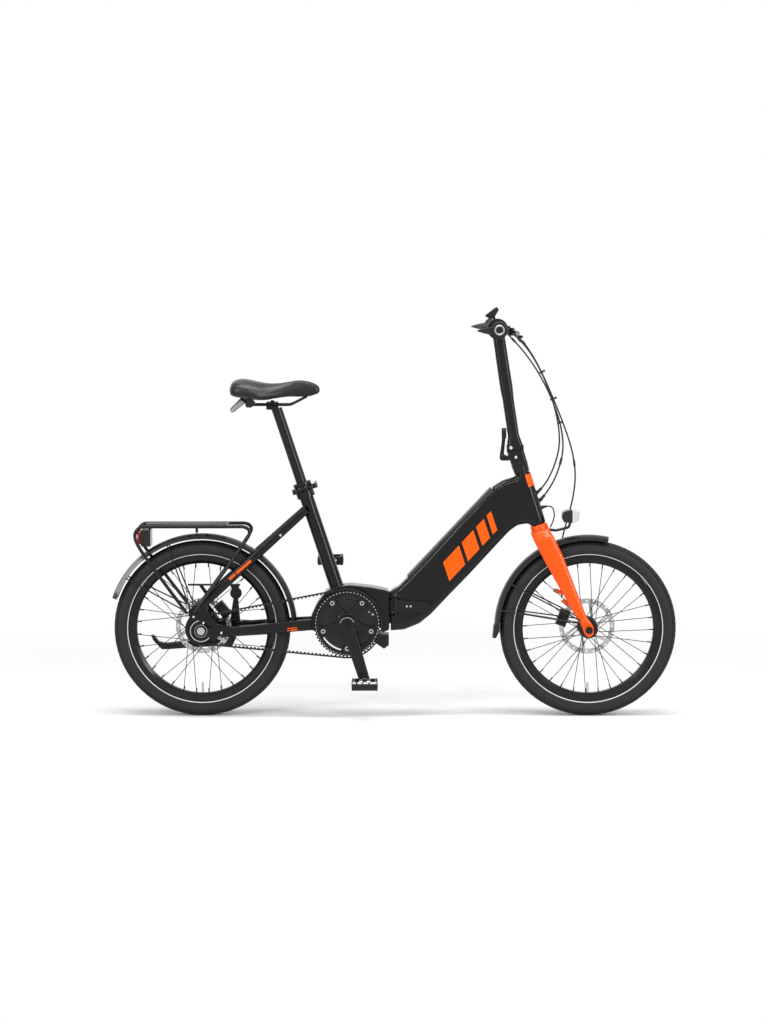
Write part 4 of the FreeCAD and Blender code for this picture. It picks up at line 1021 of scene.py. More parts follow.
def head_band():
    """A curved orange patch round the front of the head tube, well clear of the cables."""
    bm = bmesh.new()
    rows = []
    for share in (0.725, 0.84, 0.955):
        middle = HEAD_LOW.lerp(HEAD_HIGH, share)
        row = []
        for step in range(25):
            turn = math.radians(-78 + 156 * step / 24)
            way = HEAD_AHEAD * math.cos(turn) + Vector((0, math.sin(turn), 0))
            row.append((bm.verts.new(middle + way * 0.0234), bm.verts.new(middle + way * 0.0228)))
        rows.append(row)
    for row, after in zip(rows, rows[1:]):
        for a in range(24):
            bm.faces.new((row[a][0], row[a + 1][0], after[a + 1][0], after[a][0]))
            bm.faces.new((row[a][1], row[a + 1][1], after[a + 1][1], after[a][1]))
    for row in (rows[0], rows[-1]):
        for a in range(24):
            bm.faces.new((row[a][0], row[a + 1][0], row[a + 1][1], row[a][1]))
    for a in (0, 24):
        for row, after in zip(rows, rows[1:]):
            bm.faces.new((row[a][0], after[a][0], after[a][1], row[a][1]))
    bmesh.ops.recalc_face_normals(bm, faces=bm.faces)
    piece("head_band", mesh_from(bm, "head_band", 40.0), ORANGE_PRINT, "front_frame",
          "frame_paint")


head_band()

# %% [markdown]
# ## Saddle
# A padded saddle: a wide crowned seat that narrows to a long nose, in smooth dark cover over
# foam. The base shape is a row of rounded sections. A short cloth simulation blows the cover up
# a little, so that the sides belly out and the edges lose their straight lines, as foam under
# a stretched cover does. The cap on the movement keeps it inside its solid.

# %% Saddle base
SADDLE_ROWS = (               # x, half width, skirt, underside, crown
    (-0.4650, 0.046, 0.922, 0.926, 0.940), (-0.4595, 0.060, 0.917, 0.921, 0.957),
    (-0.444, 0.069, 0.914, 0.920, 0.9670), (-0.412, 0.073, 0.9055, 0.918, 0.964),
    (-0.382, 0.069, 0.8995, 0.916, 0.956), (-0.356, 0.056, 0.901, 0.916, 0.951),
    (-0.326, 0.041, 0.9105, 0.918, 0.9505), (-0.296, 0.030, 0.9155, 0.921, 0.956),
    (-0.262, 0.0225, 0.9140, 0.920, 0.9615), (-0.230, 0.0180, 0.9160, 0.921, 0.960),
    (-0.212, 0.0135, 0.922, 0.926, 0.952), (-0.2050, 0.009, 0.930, 0.932, 0.943))


def saddle_base():
    """A closed shape through the rows, with a flat underside and a rounded top."""
    bm = bmesh.new()
    rings = []
    for x, half, skirt, under, high in SADDLE_ROWS:
        ring = []
        middle = skirt + (high - skirt) * 0.34
        for step in range(24):
            turn = math.tau * step / 24
            side, rise = math.cos(turn), math.sin(turn)
            y = half * math.copysign(abs(side) ** 0.75, side)
            if rise > 0:
                z = middle + (high - middle) * rise ** 0.9
            else:
                inner = max(0.0, 1.0 - (abs(y) / half) ** 2)
                z = middle - (middle - skirt) * abs(rise) ** 0.5 + (under - skirt) * inner
            ring.append(bm.verts.new((x, y, z)))
        rings.append(ring)
    ring_skin(bm, rings)
    mesh = bpy.data.meshes.new("saddle_base")
    bm.to_mesh(mesh)
    bm.free()
    thing = bpy.data.objects.new("saddle_base", mesh)
    scene.collection.objects.link(thing)
    thing.modifiers.new("round", "SUBSURF").levels = 2
    return baked(thing, "saddle_base")


def blown(mesh, cap):
    """Inflates a closed mesh with the cloth solver; no point moves farther than cap."""
    thing = bpy.data.objects.new("saddle_cover", mesh)
    scene.collection.objects.link(thing)
    even = thing.modifiers.new("even", "REMESH")
    even.mode = "VOXEL"
    even.voxel_size = 0.0045
    mesh = baked(thing, "saddle_even")
    thing = bpy.data.objects.new("saddle_cover", mesh)
    scene.collection.objects.link(thing)
    before = [v.co.copy() for v in mesh.vertices]
    cloth = thing.modifiers.new("cloth", "CLOTH")
    cloth.settings.use_pressure = True
    cloth.settings.uniform_pressure_force = 4.0
    cloth.settings.effector_weights.gravity = 0.0
    for moment in range(1, 21):
        scene.frame_set(moment)
    mesh = baked(thing, "saddle_blown")
    thing = None
    scene.frame_set(1)
    moved = 0.0
    for vertex, start in zip(mesh.vertices, before):
        step = vertex.co - start
        if step.length > cap:
            vertex.co = start + step * (cap / step.length)
        moved = max(moved, (vertex.co - start).length)
    if thing:
        bpy.data.objects.remove(thing)
    print("cover moved up to", round(moved * 1000, 1), "mm")
    return mesh

# %% Saddle cover
def cover_finish():
    """Soft dark cover with leather pores; on the sunken side panels a lighter grey is painted as a
    highlight, strongest along the seam.
    """
    material = finish("saddle_leather", (0.007, 0.007, 0.0075), 0.33, grain=900, depth=0.06,
                      tone=0.25, spread=0.10, Specular_IOR_Level=0.28)
    tree = material.node_tree
    shader = tree.nodes["Principled BSDF"]
    place = node_of(tree, "ShaderNodeTexCoord")
    panel = node_of(tree, "ShaderNodeAttribute")
    panel.attribute_name = "panel"
    base = shader.inputs["Base Color"].links[0].from_socket
    tree.links.new(mixed_colour(tree, panel.outputs["Fac"], base, (0.040, 0.040, 0.042)),
                   shader.inputs["Base Color"])
    pores = node_of(tree, "ShaderNodeTexVoronoi", Scale=620.0)
    pores.feature = "DISTANCE_TO_EDGE"
    bump = node_of(tree, "ShaderNodeBump", Distance=0.0006, Strength=0.22)
    join(tree, place, "Object", pores, "Vector")
    join(tree, pores, "Distance", bump, "Height")
    tree.links.new(shader.inputs["Normal"].links[0].from_socket, bump.inputs["Normal"])
    join(tree, bump, 0, shader, "Normal")
    return material


COVER = cover_finish()
SEAM = ((-0.462, 0.958), (-0.437, 0.953), (-0.405, 0.935), (-0.372, 0.919), (-0.340, 0.931),
        (-0.308, 0.947), (-0.285, 0.957), (-0.200, 0.980))


def seam_height(x):
    """Height of the seam between the side panels and the seat at a place along the saddle."""
    for (x0, z0), (x1, z1) in zip(SEAM, SEAM[1:]):
        if x <= x1:
            return z0 + (z1 - z0) * max(0.0, (x - x0) / (x1 - x0))
    return SEAM[-1][1]


def make_saddle():
    """Inflates the base, presses the seam into it, subdivides it and marks the painted highlight
    along the seam.
    """
    mesh = blown(saddle_base(), 0.0035)
    for vertex in mesh.vertices:
        off = vertex.co.z - seam_height(vertex.co.x)
        groove = math.exp(-(off / 0.002) ** 2)
        sunk = 0.0016 * max(0.0, min(1.0, off / 0.006))
        if abs(vertex.co.y) > 0.012:
            vertex.co.y -= math.copysign(0.0012 * groove + sunk, vertex.co.y)
    thing = bpy.data.objects.new("saddle_padded", mesh)
    scene.collection.objects.link(thing)
    relax = thing.modifiers.new("relax", "SMOOTH")
    relax.factor = 0.35
    relax.iterations = 1
    thing.modifiers.new("round", "SUBSURF").levels = 1
    mesh = baked(thing, "saddle_padded")
    mesh.shade_smooth()
    # Painted highlight: full from 4 mm above the seam, fading to a quarter by 34 mm above it.
    sheen_mark = mesh.attributes.new("panel", "FLOAT", "POINT")
    for vertex in mesh.vertices:
        off = (vertex.co.z - seam_height(vertex.co.x)) / 0.004
        fade = max(0.0, 1.0 - max(0.0, off - 1.0) / 7.5)
        sheen_mark.data[vertex.index].value = max(0.0, min(1.0, off)) * (0.25 + 0.75 * fade)
    made = piece("saddle_padded", mesh, COVER, "seat_assembly", "saddle_cover", "saddle")
    low = [round(1000 * min(v.co[k] for v in mesh.vertices), 1) for k in range(3)]
    high = [round(1000 * max(v.co[k] for v in mesh.vertices), 1) for k in range(3)]
    print("saddle box in mm", low, high)


make_saddle()

# %% [markdown]
# ## Hoses and cables
# Two brake hoses and a gear cable leave the bar, are tied together ahead of the stem, and part
# again: two go into the head tube, one goes on to the front brake. They are held at both ends,
# so each is a smooth spline along the route of its solid; the front hose hangs up to 8 mm behind
# its solid in its upper half, where the tie draws it in. The stem folds and the fork turns
# between their ends. The two that end in the frame are cut where they hang free, into an upper
# and a lower half. These lengths, the lamp wire and the ties ride on no body.

# %% Cable routes
CABLE_R = 0.0023
REAR_HOSE = [(330, -66, 1104), (362, -62, 1080), (400, -42, 1030), (432, -20, 970),
             (457, -10, 906), (474, -8, 838), (478, -8, 775), (462, -9, 716), (436, -10, 664),
             (417, -10, 646)]
GEAR_CABLE = [(322, 66, 1102), (356, 56, 1068), (396, 30, 1018), (430, 6, 962),
              (459, -2, 900), (481, 0, 836), (490, 2, 770), (476, 4, 706), (449, 5, 650),
              (427, 6, 624)]
FRONT_HOSE = [(334, 76, 1106), (366, 70, 1084), (402, 50, 1034), (433, 22, 972),
              (463, 8, 902), (492, 8, 830), (515, 14, 762), (526, 24, 694), (520, 34, 628),
              (506, 44, 570), (490, 58, 510), (484, 66, 440), (487, 68, 380), (490, 60, 332)]
LAMP_WIRE = [(434, 10, 600), (456, 12, 606), (466, 10, 580), (458, 6, 552), (452, 4, 541)]


def spline_of(name, route):
    """A smooth curve with the route's points, given in mm, as its control points."""
    curve = bpy.data.curves.new(name, "CURVE")
    curve.dimensions = "3D"
    curve.resolution_u = 8
    spline = curve.splines.new("NURBS")
    spline.points.add(len(route) - 1)
    for point, (x, y, z) in zip(spline.points, route):
        point.co = (x / 1000, y / 1000, z / 1000, 1.0)
    spline.order_u = 3
    spline.use_endpoint_u = True
    return curve


def line_of(name, route):
    """Points along the spline of a route."""
    thing = bpy.data.objects.new(name, spline_of(name, route))
    scene.collection.objects.link(thing)
    return [v.co.copy() for v in baked(thing, name + "_line").vertices]


def hose(name, line, radius, fittings=()):
    """A tube along a line of points; fittings are (place from 0 to 1, length, radius)."""
    bm = bmesh.new()
    reach = [0.0]
    for a, b in zip(line, line[1:]):
        reach.append(reach[-1] + (b - a).length)
    stops = [(s, radius) for s in reach]
    for share, long, wide in fittings:
        middle = share * reach[-1]
        low, high = middle - long / 2, middle + long / 2
        stops = [stop for stop in stops if not low - 1e-4 < stop[0] < high + 1e-4]
        stops += [(low, radius), (low + 4e-4, wide), (high - 4e-4, wide), (high, radius)]
    rings = []
    side = Vector((0, 1, 0))
    for s, wide in sorted(stops):
        k = max(i for i, r in enumerate(reach[:-1]) if r <= s + 1e-9 or i == 0)
        way = (line[k + 1] - line[k]).normalized()
        middle = line[k] + way * (s - reach[k])
        up = way.cross(side).normalized()
        across = up.cross(way).normalized()
        rings.append([bm.verts.new(middle + (up * math.cos(math.tau * a / 14)
                                             + across * math.sin(math.tau * a / 14)) * wide)
                      for a in range(14)])
    ring_skin(bm, rings)
    print(name, "is", round(reach[-1] * 1000), "mm long")
    return mesh_from(bm, name, 50.0)


def split_at(line, height):
    """A line that comes down, cut at a height into its upper and lower parts."""
    for k, (a, b) in enumerate(zip(line, line[1:])):
        if a.z > height >= b.z:
            cut = a.lerp(b, (a.z - height) / (a.z - b.z))
            return line[:k + 1] + [cut], [cut] + line[k + 1:]
    return line, line[-2:]

# %% Cables as pieces
SPLIT_Z = 0.79
PARTS = []
for name, route, ties in (("rear_hose", REAR_HOSE, [(0.11, 0.012, 0.0036)]),
                          ("gear_cable", GEAR_CABLE, [(0.10, 0.016, 0.0034)])):
    upper, lower = split_at(line_of(name, route), SPLIT_Z)
    top = hose(name + "_upper", upper, CABLE_R, ties)
    low_fit = [(0.33, 0.020, 0.0036)] if name == "gear_cable" else []
    bottom = hose(name + "_lower", lower, CABLE_R, low_fit + [(0.955, 0.012, 0.0042)])
    PARTS.append((piece(name + "_upper", top, M["cable_jacket"], None, "cable_jacket",
                        "cables"), upper, "handlepost", "steering"))
    PARTS.append((piece(name + "_lower", bottom, M["cable_jacket"], None, "cable_jacket",
                        "cables"), lower, "steering", "front_frame"))
front_line = line_of("front_hose", FRONT_HOSE)
front_mesh = hose("front_hose", front_line, CABLE_R,
                  [(0.07, 0.012, 0.0036), (0.525, 0.018, 0.0033), (0.975, 0.014, 0.0034)])
PARTS.append((piece("front_hose", front_mesh, M["cable_jacket"], None, "cable_jacket",
                    "cables"), front_line, "handlepost", "steering"))
wire_line = line_of("lamp_wire", LAMP_WIRE)
wire_mesh = hose("lamp_wire", wire_line, 0.0019, [(0.06, 0.008, 0.0032)])
PARTS.append((piece("lamp_wire", wire_mesh, M["cable_jacket"], None, "cable_jacket",
                    "cables"), wire_line, "front_frame", "steering"))

# %% Ties round the bundle
def tie(place, size, way):
    """A flat strap round the bundle with its square head."""
    bm = bmesh.new()
    across = Vector((0, 1, 0))
    out = way.cross(across).normalized()
    rings = []
    for step in range(20):
        turn = math.tau * step / 20
        for_out = out * math.cos(turn) * size[0] + across * math.sin(turn) * size[1]
        rings.append([bm.verts.new(place + for_out * grow + way * along)
                      for grow, along in ((1.0, -0.0022), (1.22, -0.0022), (1.22, 0.0022),
                                          (1.0, 0.0022))])
    ring_skin(bm, rings, True)
    head = box_bm((-0.0022, -0.003, -0.0032), (0.0022, 0.003, 0.0032), 0.0006)
    turn = Matrix((out, across, way)).transposed().to_4x4()
    turn.translation = place + out * (size[0] * 1.2 + 0.0014)
    head.transform(turn)
    mesh = bpy.data.meshes.new("tie_head")
    head.to_mesh(mesh)
    head.free()
    bm.from_mesh(mesh)
    bmesh.ops.recalc_face_normals(bm, faces=bm.faces)
    return mesh_from(bm, "tie", 35.0)


TIES = []
for place, size, way in (((0.4250, 0.004, 0.986), (0.0062, 0.0215), (0.46, 0, -0.89)),
                         ((0.4575, -0.001, 0.910), (0.0070, 0.0120), (0.36, 0, -0.93)),
                         ((0.4760, -0.004, 0.842), (0.0046, 0.0085), (0.22, 0, -0.97))):
    TIES.append(tie(Vector(place), size, Vector(way).normalized()))
straps = joined("cable_ties", *TIES)
PARTS.append((piece("cable_ties", straps, M["black_plastic"], None, "cable_jacket"),
              [Vector((0.33, 0, 1.10)), Vector((0.48, 0, 0.77))], "handlepost", "steering"))
for made, line, upper_body, lower_body in PARTS:
    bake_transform(made)

# %% [markdown]
# ## Grips
# The grips are soft rubber with a broad wing for the palm. A turned body takes the fingers, a
# wing that grows towards the end supports the hand, and a clamp ring with a plug closes the
# end. The ribs are real geometry: one ring, repeated along the grip.

# %% Grips with wings and end rings
BAR_AT = Vector((0.294, 0.0, 1.112))


def turned_mesh(name, outline, at, steps=48, material=None):
    """A lathe shape closed into a mesh with one finish."""
    mesh = mesh_from(lathe(outline, at, steps), name, 40.0)
    if material:
        mesh.materials.append(material)
    return mesh


def grip_body(side):
    """Turned body of one grip, with shallow ribs where the fingers lie."""
    outline = [(side * 0.170, 0.0113), (side * 0.170, 0.0165)]
    for number in range(14):
        y = 0.176 + number * 0.0072
        swell = 0.0168 + 0.0066 * max(0.0, (number - 6) / 8) ** 1.6
        outline += [(side * y, swell), (side * (y + 0.0012), swell - 0.0007),
                    (side * (y + 0.0024), swell - 0.0007), (side * (y + 0.0036), swell)]
    outline += [(side * 0.283, 0.0240), (side * 0.2865, 0.0236), (side * 0.2885, 0.0218),
                (side * 0.289, 0.0190), (side * 0.289, 0.0113)]
    return turned_mesh("grip_body", outline, BAR_AT, 56, M["grip_rubber"])


def wing(side):
    """The palm rest: rounded sections that grow outwards along the bar."""
    bm = bmesh.new()
    rings = []
    for share, reach, thick in ((0.0, 0.012, 0.007), (0.12, 0.024, 0.0095),
                                (0.45, 0.038, 0.0120), (0.8, 0.057, 0.0150),
                                (0.95, 0.063, 0.0152), (1.0, 0.060, 0.0130)):
        y = side * (0.180 + share * 0.107)
        ring = []
        for step in range(20):
            turn = math.tau * step / 20
            slim = 1.0 - 0.74 * (0.5 - 0.5 * math.cos(turn))
            x = -reach / 2 + math.cos(turn) * reach / 2
            z = math.sin(turn) * thick * slim - 0.002
            ring.append(bm.verts.new(BAR_AT + Vector((x, y, z))))
        rings.append(ring)
    ring_skin(bm, rings)
    mesh = mesh_from(bm, "wing", 60.0)
    mesh.materials.append(M["grip_rubber"])
    return mesh


def grip_end(side):
    """Bright clamp ring and the black plug inside it."""
    ring = [(side * 0.2885, 0.0100), (side * 0.2885, 0.0142), (side * 0.2922, 0.0142),
            (side * 0.2928, 0.0136), (side * 0.2928, 0.0106), (side * 0.2922, 0.0100)]
    plug = [(side * 0.2886, 0.0), (side * 0.2886, 0.0099), (side * 0.2908, 0.0099),
            (side * 0.2914, 0.0088), (side * 0.2914, 0.0050), (side * 0.2898, 0.0046),
            (side * 0.2898, 0.0)]
    return (turned_mesh("ring", ring, BAR_AT, 48, M["steel"]),
            turned_mesh("plug", plug, BAR_AT, 40, M["black_plastic"]))


grip_parts = [part for side in (-1, 1) for part in (grip_body(side), wing(side),
                                                    *grip_end(side))]
piece("palm_grips", joined("palm_grips", *grip_parts), None, "handlepost", "grip_rubber",
      "grips")

# %% Display window
def display_window():
    """The dark glass of the display, on its sloping face."""
    a, b = Vector((0.2625, 0, 1.1466)), Vector((0.2955, 0, 1.1716))
    way = (b - a).normalized()
    up = Vector((-way.z, 0, way.x))
    low, high = a + way * 0.005, b - way * 0.005
    bm = bmesh.new()
    rings = []
    for inset, lift in ((0.0, 0.0), (0.0006, 0.0008), (0.003, 0.0011)):
        ring = []
        for end, y in ((low + way * inset, -1), (high - way * inset, -1),
                       (high - way * inset, 1), (low + way * inset, 1)):
            ring.append(bm.verts.new(end + up * lift + Vector((0, y * (0.0275 - inset), 0))))
        rings.append(ring)
    ring_skin(bm, rings)
    piece("display_window", mesh_from(bm, "display_window", 20.0), SCREEN, "handlepost",
          "lamp_body")


display_window()

# %% [markdown]
# ## Small metal parts
# What makes a machine look real is its fasteners. A screw head is one small turned shape with
# a round socket. It is made once and set wherever a list of places says, with Geometry
# Nodes, all heads of one body in one piece.

# %% Screws from a list of places
def make_scatter_tree():
    """Sets a shape on every point of a mesh, unturned."""
    tree, given, out = geometry_tree("set_on_points", [
        ("Shape", "NodeSocketObject", None), ("Finish", "NodeSocketMaterial", None)])
    points = node_of(tree, "GeometryNodeMeshToPoints")
    shape = node_of(tree, "GeometryNodeObjectInfo")
    place = node_of(tree, "GeometryNodeInstanceOnPoints")
    join(tree, given, "Geometry", points, "Mesh")
    join(tree, given, "Shape", shape, "Object")
    join(tree, points, "Points", place, "Points")
    join(tree, shape, "Geometry", place, "Instance")
    return real_and_painted(tree, place, given, out)


SCATTER = make_scatter_tree()


def set_on(name, places, shape_bm, material):
    """A mesh of one shape at each of the places, given in metres."""
    base = bpy.data.meshes.new(name + "_places")
    base.from_pydata([tuple(p) for p in places], [], [])
    template = bpy.data.objects.new(name + "_one", mesh_from(shape_bm, name + "_one", 30.0))
    scene.collection.objects.link(template)
    mesh = grown(SCATTER, base, name, Shape=template, Finish=material)
    bpy.data.objects.remove(template)
    return mesh


def screw_head(radius, side=-1, high=0.0022):
    """A rounded head with a round socket, facing sideways."""
    outline = [(0.0, radius), (side * high * 0.6, radius), (side * high, radius * 0.82),
               (side * high, radius * 0.5), (side * high * 0.35, radius * 0.46),
               (side * high * 0.35, 0.0), (0.0, 0.0)]
    return lathe(outline, Vector((0, 0, 0)), 18)


def screws(name, body, radius, places, material=BOLT, side=-1, high=0.0022):
    """All the screw heads of one kind on one body."""
    mesh = set_on(name, places, screw_head(radius, side, high), material)
    piece(name, mesh, None, body, "steel")


screws("frame_screws", "rear_frame", 0.0036,
       [(-0.3190, -0.0447, 0.5235), (-0.5655, -0.0792, 0.2935), (-0.5375, -0.0792, 0.276),
        (-0.487, -0.0752, 0.2465)])
screws("latch_screws", "frame_latch", 0.0030,
       [(0.041, -0.0540, 0.3205), (0.052, -0.0540, 0.3207)])
screws("motor_screws", "rear_frame", 0.0034,
       [(-0.0655, -0.0450, 0.3040), (-0.0560, -0.0450, 0.2965)])
screws("stem_screws", "steering", 0.0042,
       [(0.326, -0.0240, 0.752), (0.352, -0.0240, 0.744)])
screws("post_screws", "handlepost", 0.0052, [(0.338, -0.0232, 0.771)], BOLT, -1, 0.003)
sockets = [(low + high) / 2 for faces, low, high in islands(skin_of("sprocket_bolts"))]
screws("sprocket_sockets", "crankset", 0.0033,
       [(p.x, -0.0632, p.z) for p in sockets], M["black_steel"], -1, 0.0006)

# %% Motor fins, hub ring and crank cap
MOTOR = Vector((-0.124, 0.0, 0.279))


def fins():
    """Shallow cooling ridges round the motor's face."""
    outline = [(-0.0440, 0.024), (-0.0458, 0.024)]
    for number in range(6):
        r = 0.028 + number * 0.0072
        outline += [(-0.0458, r), (-0.0480, r + 0.0010), (-0.0480, r + 0.0026),
                    (-0.0458, r + 0.0040)]
    outline += [(-0.0458, 0.0722), (-0.0440, 0.0728), (-0.0440, 0.0752), (-0.0452, 0.0758),
                (-0.0452, 0.0776), (-0.0436, 0.0784), (-0.0436, 0.0806), (-0.0448, 0.0812),
                (-0.0448, 0.0840), (-0.0420, 0.0858), (-0.0380, 0.0858), (-0.0380, 0.024)]
    return mesh_from(lathe(outline, MOTOR, 120), "motor_fins", 30.0)


FIN_FINISH = finish("fin_case", (0.011, 0.011, 0.0115), 0.30, grain=1500, depth=0.06,
                    Specular_IOR_Level=0.4)
piece("motor_fins", fins(), FIN_FINISH, "rear_frame", "motor_case")


def arc_strip(name, hub, low_r, high_r, y, first, last, steps=40):
    """A thin curved plate round an axle, between two turns given in degrees."""
    bm = bmesh.new()
    rows = []
    for step in range(steps + 1):
        turn = math.radians(first + (last - first) * step / steps)
        way = Vector((math.cos(turn), 0, math.sin(turn)))
        rows.append([bm.verts.new(hub + way * r + Vector((0, dy, 0)))
                     for r, dy in ((low_r, y), (high_r, y), (high_r, y - 0.0012),
                                   (low_r, y - 0.0012))])
    ring_skin(bm, rows)
    mesh = mesh_from(bm, name, 30.0)
    mesh.materials.append(M["steel"])
    return mesh


# Painted highlight: the outer thin bright steel part-arc on the hub's face; inside it lies a full
# bright steel ring round the axle.
hub_highlight_and_ring = [arc_strip("a", REAR_HUB, 0.0285, 0.0312, -0.0788, 100, 322),
             arc_strip("b", REAR_HUB, 0.0168, 0.0180, -0.0788, 0, 359.9, 60)]
piece("hub_guard", joined("hub_guard", *hub_highlight_and_ring), None, "rear_frame", "steel")
# Painted highlight: a thin bright steel arc over the top of the crank's axle.
crank_highlight_arc = [arc_strip("c", CRANK, 0.0195, 0.0212, -0.0876, 20, 168, 30)]
piece("crank_cap", joined("crank_cap", *crank_highlight_arc,
                          turned_mesh("cap", [(-0.0862, 0.0), (-0.0862, 0.0092),
                                              (-0.0886, 0.0088), (-0.0892, 0.0070),
                                              (-0.0892, 0.0045), (-0.0876, 0.0040),
                                              (-0.0876, 0.0)], CRANK, 32, M["black_steel"])),
      None, "crankset", "steel")

# %% [markdown]
# ## Pedals
# The outer end of a pedal has raised ribs, one like the next, so a rib runs down a short line
# with Geometry Nodes. Amber reflectors close the front and the rear of the platform.

# %% Pedal ribs and reflectors
def pedal_trim(label, side):
    """Ribs on the outer end of one platform and a reflector on its front and rear."""
    low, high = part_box("pedal_" + label)
    middle = (Vector(low) + Vector(high)) / 2
    outer = high[1] if side > 0 else low[1]
    line = bpy.data.curves.new("rib_line", "CURVE")
    line.dimensions = "3D"
    spline = line.splines.new("POLY")
    spline.points.add(1)
    for point, lift in zip(spline.points, (-0.0110, 0.0030)):
        point.co = (middle.x, outer, middle.z + lift, 1)
    rib = bpy.data.objects.new("rib", mesh_from(box_bm((-0.0010, -0.0012, -0.0345),
                                                       (0.0010, 0.0012, 0.0345)), "rib", 20.0))
    scene.collection.objects.link(rib)
    ribbed = grown(RUN_TREE, line, "ribs_" + label, Shape=rib, Count=4,
                   Finish=M["black_plastic"])
    bpy.data.objects.remove(rib)
    plates = []
    for end in (-1, 1):
        x = middle.x + end * (0.0340 if side < 0 else 0.0352)
        plate = box_bm((min(x, x + end * 0.0032), min(side * 0.122, side * 0.172),
                        middle.z - 0.0085),
                       (max(x, x + end * 0.0032), max(side * 0.122, side * 0.172),
                        middle.z + 0.0085))
        bmesh.ops.bevel(plate, geom=plate.edges[:], offset=0.0008, segments=1,
                        affect="EDGES")
        mesh = mesh_from(plate, "reflector", 30.0)
        mesh.materials.append(AMBER)
        plates.append(mesh)
    # A pale grey band of four blocks along the top of the outer end.
    for first, last in ((-0.0340, -0.0250), (-0.0200, -0.0070), (-0.0040, 0.0110),
                        (0.0150, 0.0340)):
        block = box_bm((middle.x + first, outer - 0.0010, middle.z + 0.0065),
                       (middle.x + last, outer + 0.0010, middle.z + 0.0125), 0.0005)
        mesh = mesh_from(block, "block", 30.0)
        mesh.materials.append(PALE_GREY)
        plates.append(mesh)
    piece("pedal_trim_" + label, joined("pedal_trim_" + label, ribbed, *plates), None,
          "pedal_" + label, "black_plastic")


pedal_trim("right", -1)
pedal_trim("left", 1)

# %% [markdown]
# ## Lifting handle, brake mounts and fold rest
# Three small shapes that the solids only hint at: the grey handle under the rear of the
# saddle, the two orange ears that carry the front brake, and the bar above the round rest that
# meets the other wheel when the bicycle is folded. Each is a flat outline pulled to a
# thickness, with its edges bevelled.

# %% Plates from outlines
def plate_mesh(name, outline, y0, y1, bevel, material):
    """An outline of (x, z) points made solid between two planes, its edges rounded."""
    bm = bmesh.new()
    near_side = [bm.verts.new((x, y0, z)) for x, z in outline]
    far_side = [bm.verts.new((x, y1, z)) for x, z in outline]
    count = len(outline)
    for a in range(count):
        b = (a + 1) % count
        bm.faces.new((near_side[a], near_side[b], far_side[b], far_side[a]))
    bm.faces.new(near_side)
    bm.faces.new(far_side)
    bmesh.ops.recalc_face_normals(bm, faces=bm.faces)
    bmesh.ops.bevel(bm, geom=bm.edges[:], offset=bevel, segments=2, affect="EDGES")
    mesh = mesh_from(bm, name, 40.0)
    mesh.materials.append(material)
    return mesh


HANDLE_GREY = finish("handle_grey", (0.30, 0.30, 0.305), 0.34, grain=1500, depth=0.05)
handle = plate_mesh("handle", [(-0.4655, 0.8800), (-0.4560, 0.8690), (-0.4180, 0.8990),
                               (-0.4215, 0.9120), (-0.4290, 0.9145)],
                    -0.027, 0.027, 0.0035, HANDLE_GREY)
bracket = plate_mesh("bracket", [(-0.4190, 0.8960), (-0.4170, 0.8865), (-0.4000, 0.8860),
                                 (-0.3900, 0.8990), (-0.4080, 0.9160), (-0.4200, 0.9160)],
                     -0.030, 0.030, 0.002, M["black_plastic"])
piece("lift_handle", joined("lift_handle", handle, bracket), None, "seat_assembly",
      "black_plastic")

ears = [plate_mesh("ear", outline, 0.0475, 0.0585, 0.0015, M["fork_paint"])
        for outline in ([(0.4625, 0.3525), (0.4665, 0.3600), (0.4750, 0.3600),
                         (0.4960, 0.3500), (0.5060, 0.3360), (0.4880, 0.3440),
                         (0.4700, 0.3480)],
                        [(0.4860, 0.3230), (0.4930, 0.3300), (0.5080, 0.3240),
                         (0.5250, 0.2980), (0.5150, 0.2960), (0.5000, 0.3120)])]
ears.append(set_on("ear_bolts", [(0.4705, 0.0475, 0.3540)], screw_head(0.0040), M["steel"]))
piece("brake_ears", joined("brake_ears", *ears), None, "steering", "fork_paint")
boss = turned_mesh("boss", [(-0.0560, 0.0), (-0.0560, 0.0085), (-0.0585, 0.0080),
                            (-0.0590, 0.0062), (-0.0590, 0.0)], Vector((0.503, 0.0, 0.3755)),
                   32, M["fork_paint"])
piece("fork_boss", boss, None, "steering", "fork_paint")
rest = [plate_mesh("rest", [(-0.592, 0.3655), (-0.592, 0.3705), (-0.440, 0.3705),
                            (-0.440, 0.3655)], 0.076, 0.090, 0.001, M["black_alloy"]),
        plate_mesh("arm", [(-0.560, 0.3660), (-0.548, 0.3660), (-0.520, 0.3260),
                           (-0.532, 0.3260)], 0.078, 0.086, 0.001, M["black_alloy"]),
        plate_mesh("web", [(-0.470, 0.3660), (-0.442, 0.3660), (-0.448, 0.3480),
                           (-0.460, 0.3480)], 0.080, 0.088, 0.001, M["black_alloy"])]
piece("fold_rest_bar", joined("fold_rest_bar", *rest), None, "rear_frame", "black_alloy")
NODES["front_axle"].material_slots[0].material = M["black_alloy"]

# %% [markdown]
# ## Rack and fork crown
# Each side of the rack is one round tube bent into a loop, so it is drawn as a spline whose
# corners round off by themselves. Cross rods and three flat slats lie between the two loops.
# Under the head tube the fork's crown begins with a collar that widens downwards.

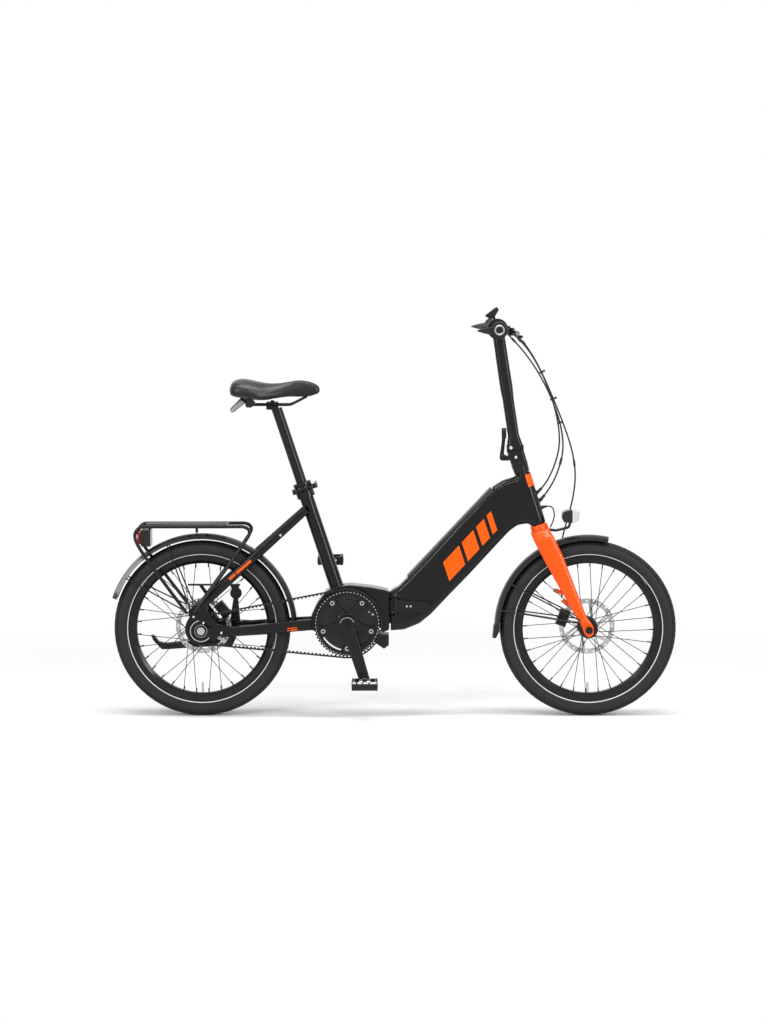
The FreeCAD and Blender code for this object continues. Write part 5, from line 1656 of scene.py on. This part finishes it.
# %% Rack tubes
RACK_LOOP = [(-563, 81, 306), (-507, 75, 382), (-452, 68, 459), (-426, 64, 497), (-402, 62, 532),
             (-416, 60, 549.5), (-450, 60, 549), (-694, 60, 549), (-718, 60, 549),
             (-734, 61, 530), (-730, 62, 506), (-706, 66, 466), (-645, 73.5, 384.5),
             (-584, 81, 303)]


def rack():
    """Both loops, the cross rods, the slats, the foot pins and the link to the mudguard."""
    parts = []
    for side in (1, -1):
        line = line_of("rack_loop", [(x, side * y, z) for x, y, z in RACK_LOOP])
        parts.append(hose("rack_loop", line, 0.005))
        parts.append(turned_mesh("pin", [(side * 0.0745, 0.0), (side * 0.0745, 0.005),
                                         (side * 0.084, 0.005), (side * 0.084, 0.0)],
                                 Vector((-0.566, 0, 0.309)), 16))
    for x in (-0.700, -0.643, -0.586, -0.529, -0.472):
        parts.append(turned_mesh("rod", [(-0.060, 0.0), (-0.060, 0.004), (0.060, 0.004),
                                         (0.060, 0.0)], Vector((x, 0, 0.549)), 16))
    for y in (-0.028, 0.0, 0.028):
        parts.append(mesh_from(box_bm((-0.704, y - 0.006, 0.549), (-0.468, y + 0.006, 0.5544),
                                      0.0012), "slat", 30.0))
    parts.append(hose("link", [Vector((-0.560, 0, 0.5265)), Vector((-0.560, 0, 0.549))], 0.004))
    piece("rack_tubes", joined("rack_tubes", *parts), M[SLOTS["rack_frame"]], "rear_frame",
          SLOTS["rack_frame"], "rack_frame")


rack()

# %% Collar of the fork
def crown_collar():
    """A short taper round the steering axis, right under the head tube."""
    bm = bmesh.new()
    rings = []
    for drop, radius in ((0.0008, 0.0180), (0.0008, 0.0232), (0.0022, 0.0244), (0.016, 0.0254),
                         (0.032, 0.0268), (0.040, 0.0240), (0.042, 0.0180)):
        rings.append([bm.verts.new(HEAD_LOW - HEAD_UP * drop
                                   + (HEAD_AHEAD * math.cos(math.tau * a / 40)
                                      + Vector((0, math.sin(math.tau * a / 40), 0))) * radius)
                      for a in range(40)])
    ring_skin(bm, rings, True)
    piece("crown_collar", mesh_from(bm, "crown_collar", 40.0), M["fork_paint"], "steering",
          "fork_paint")


crown_collar()
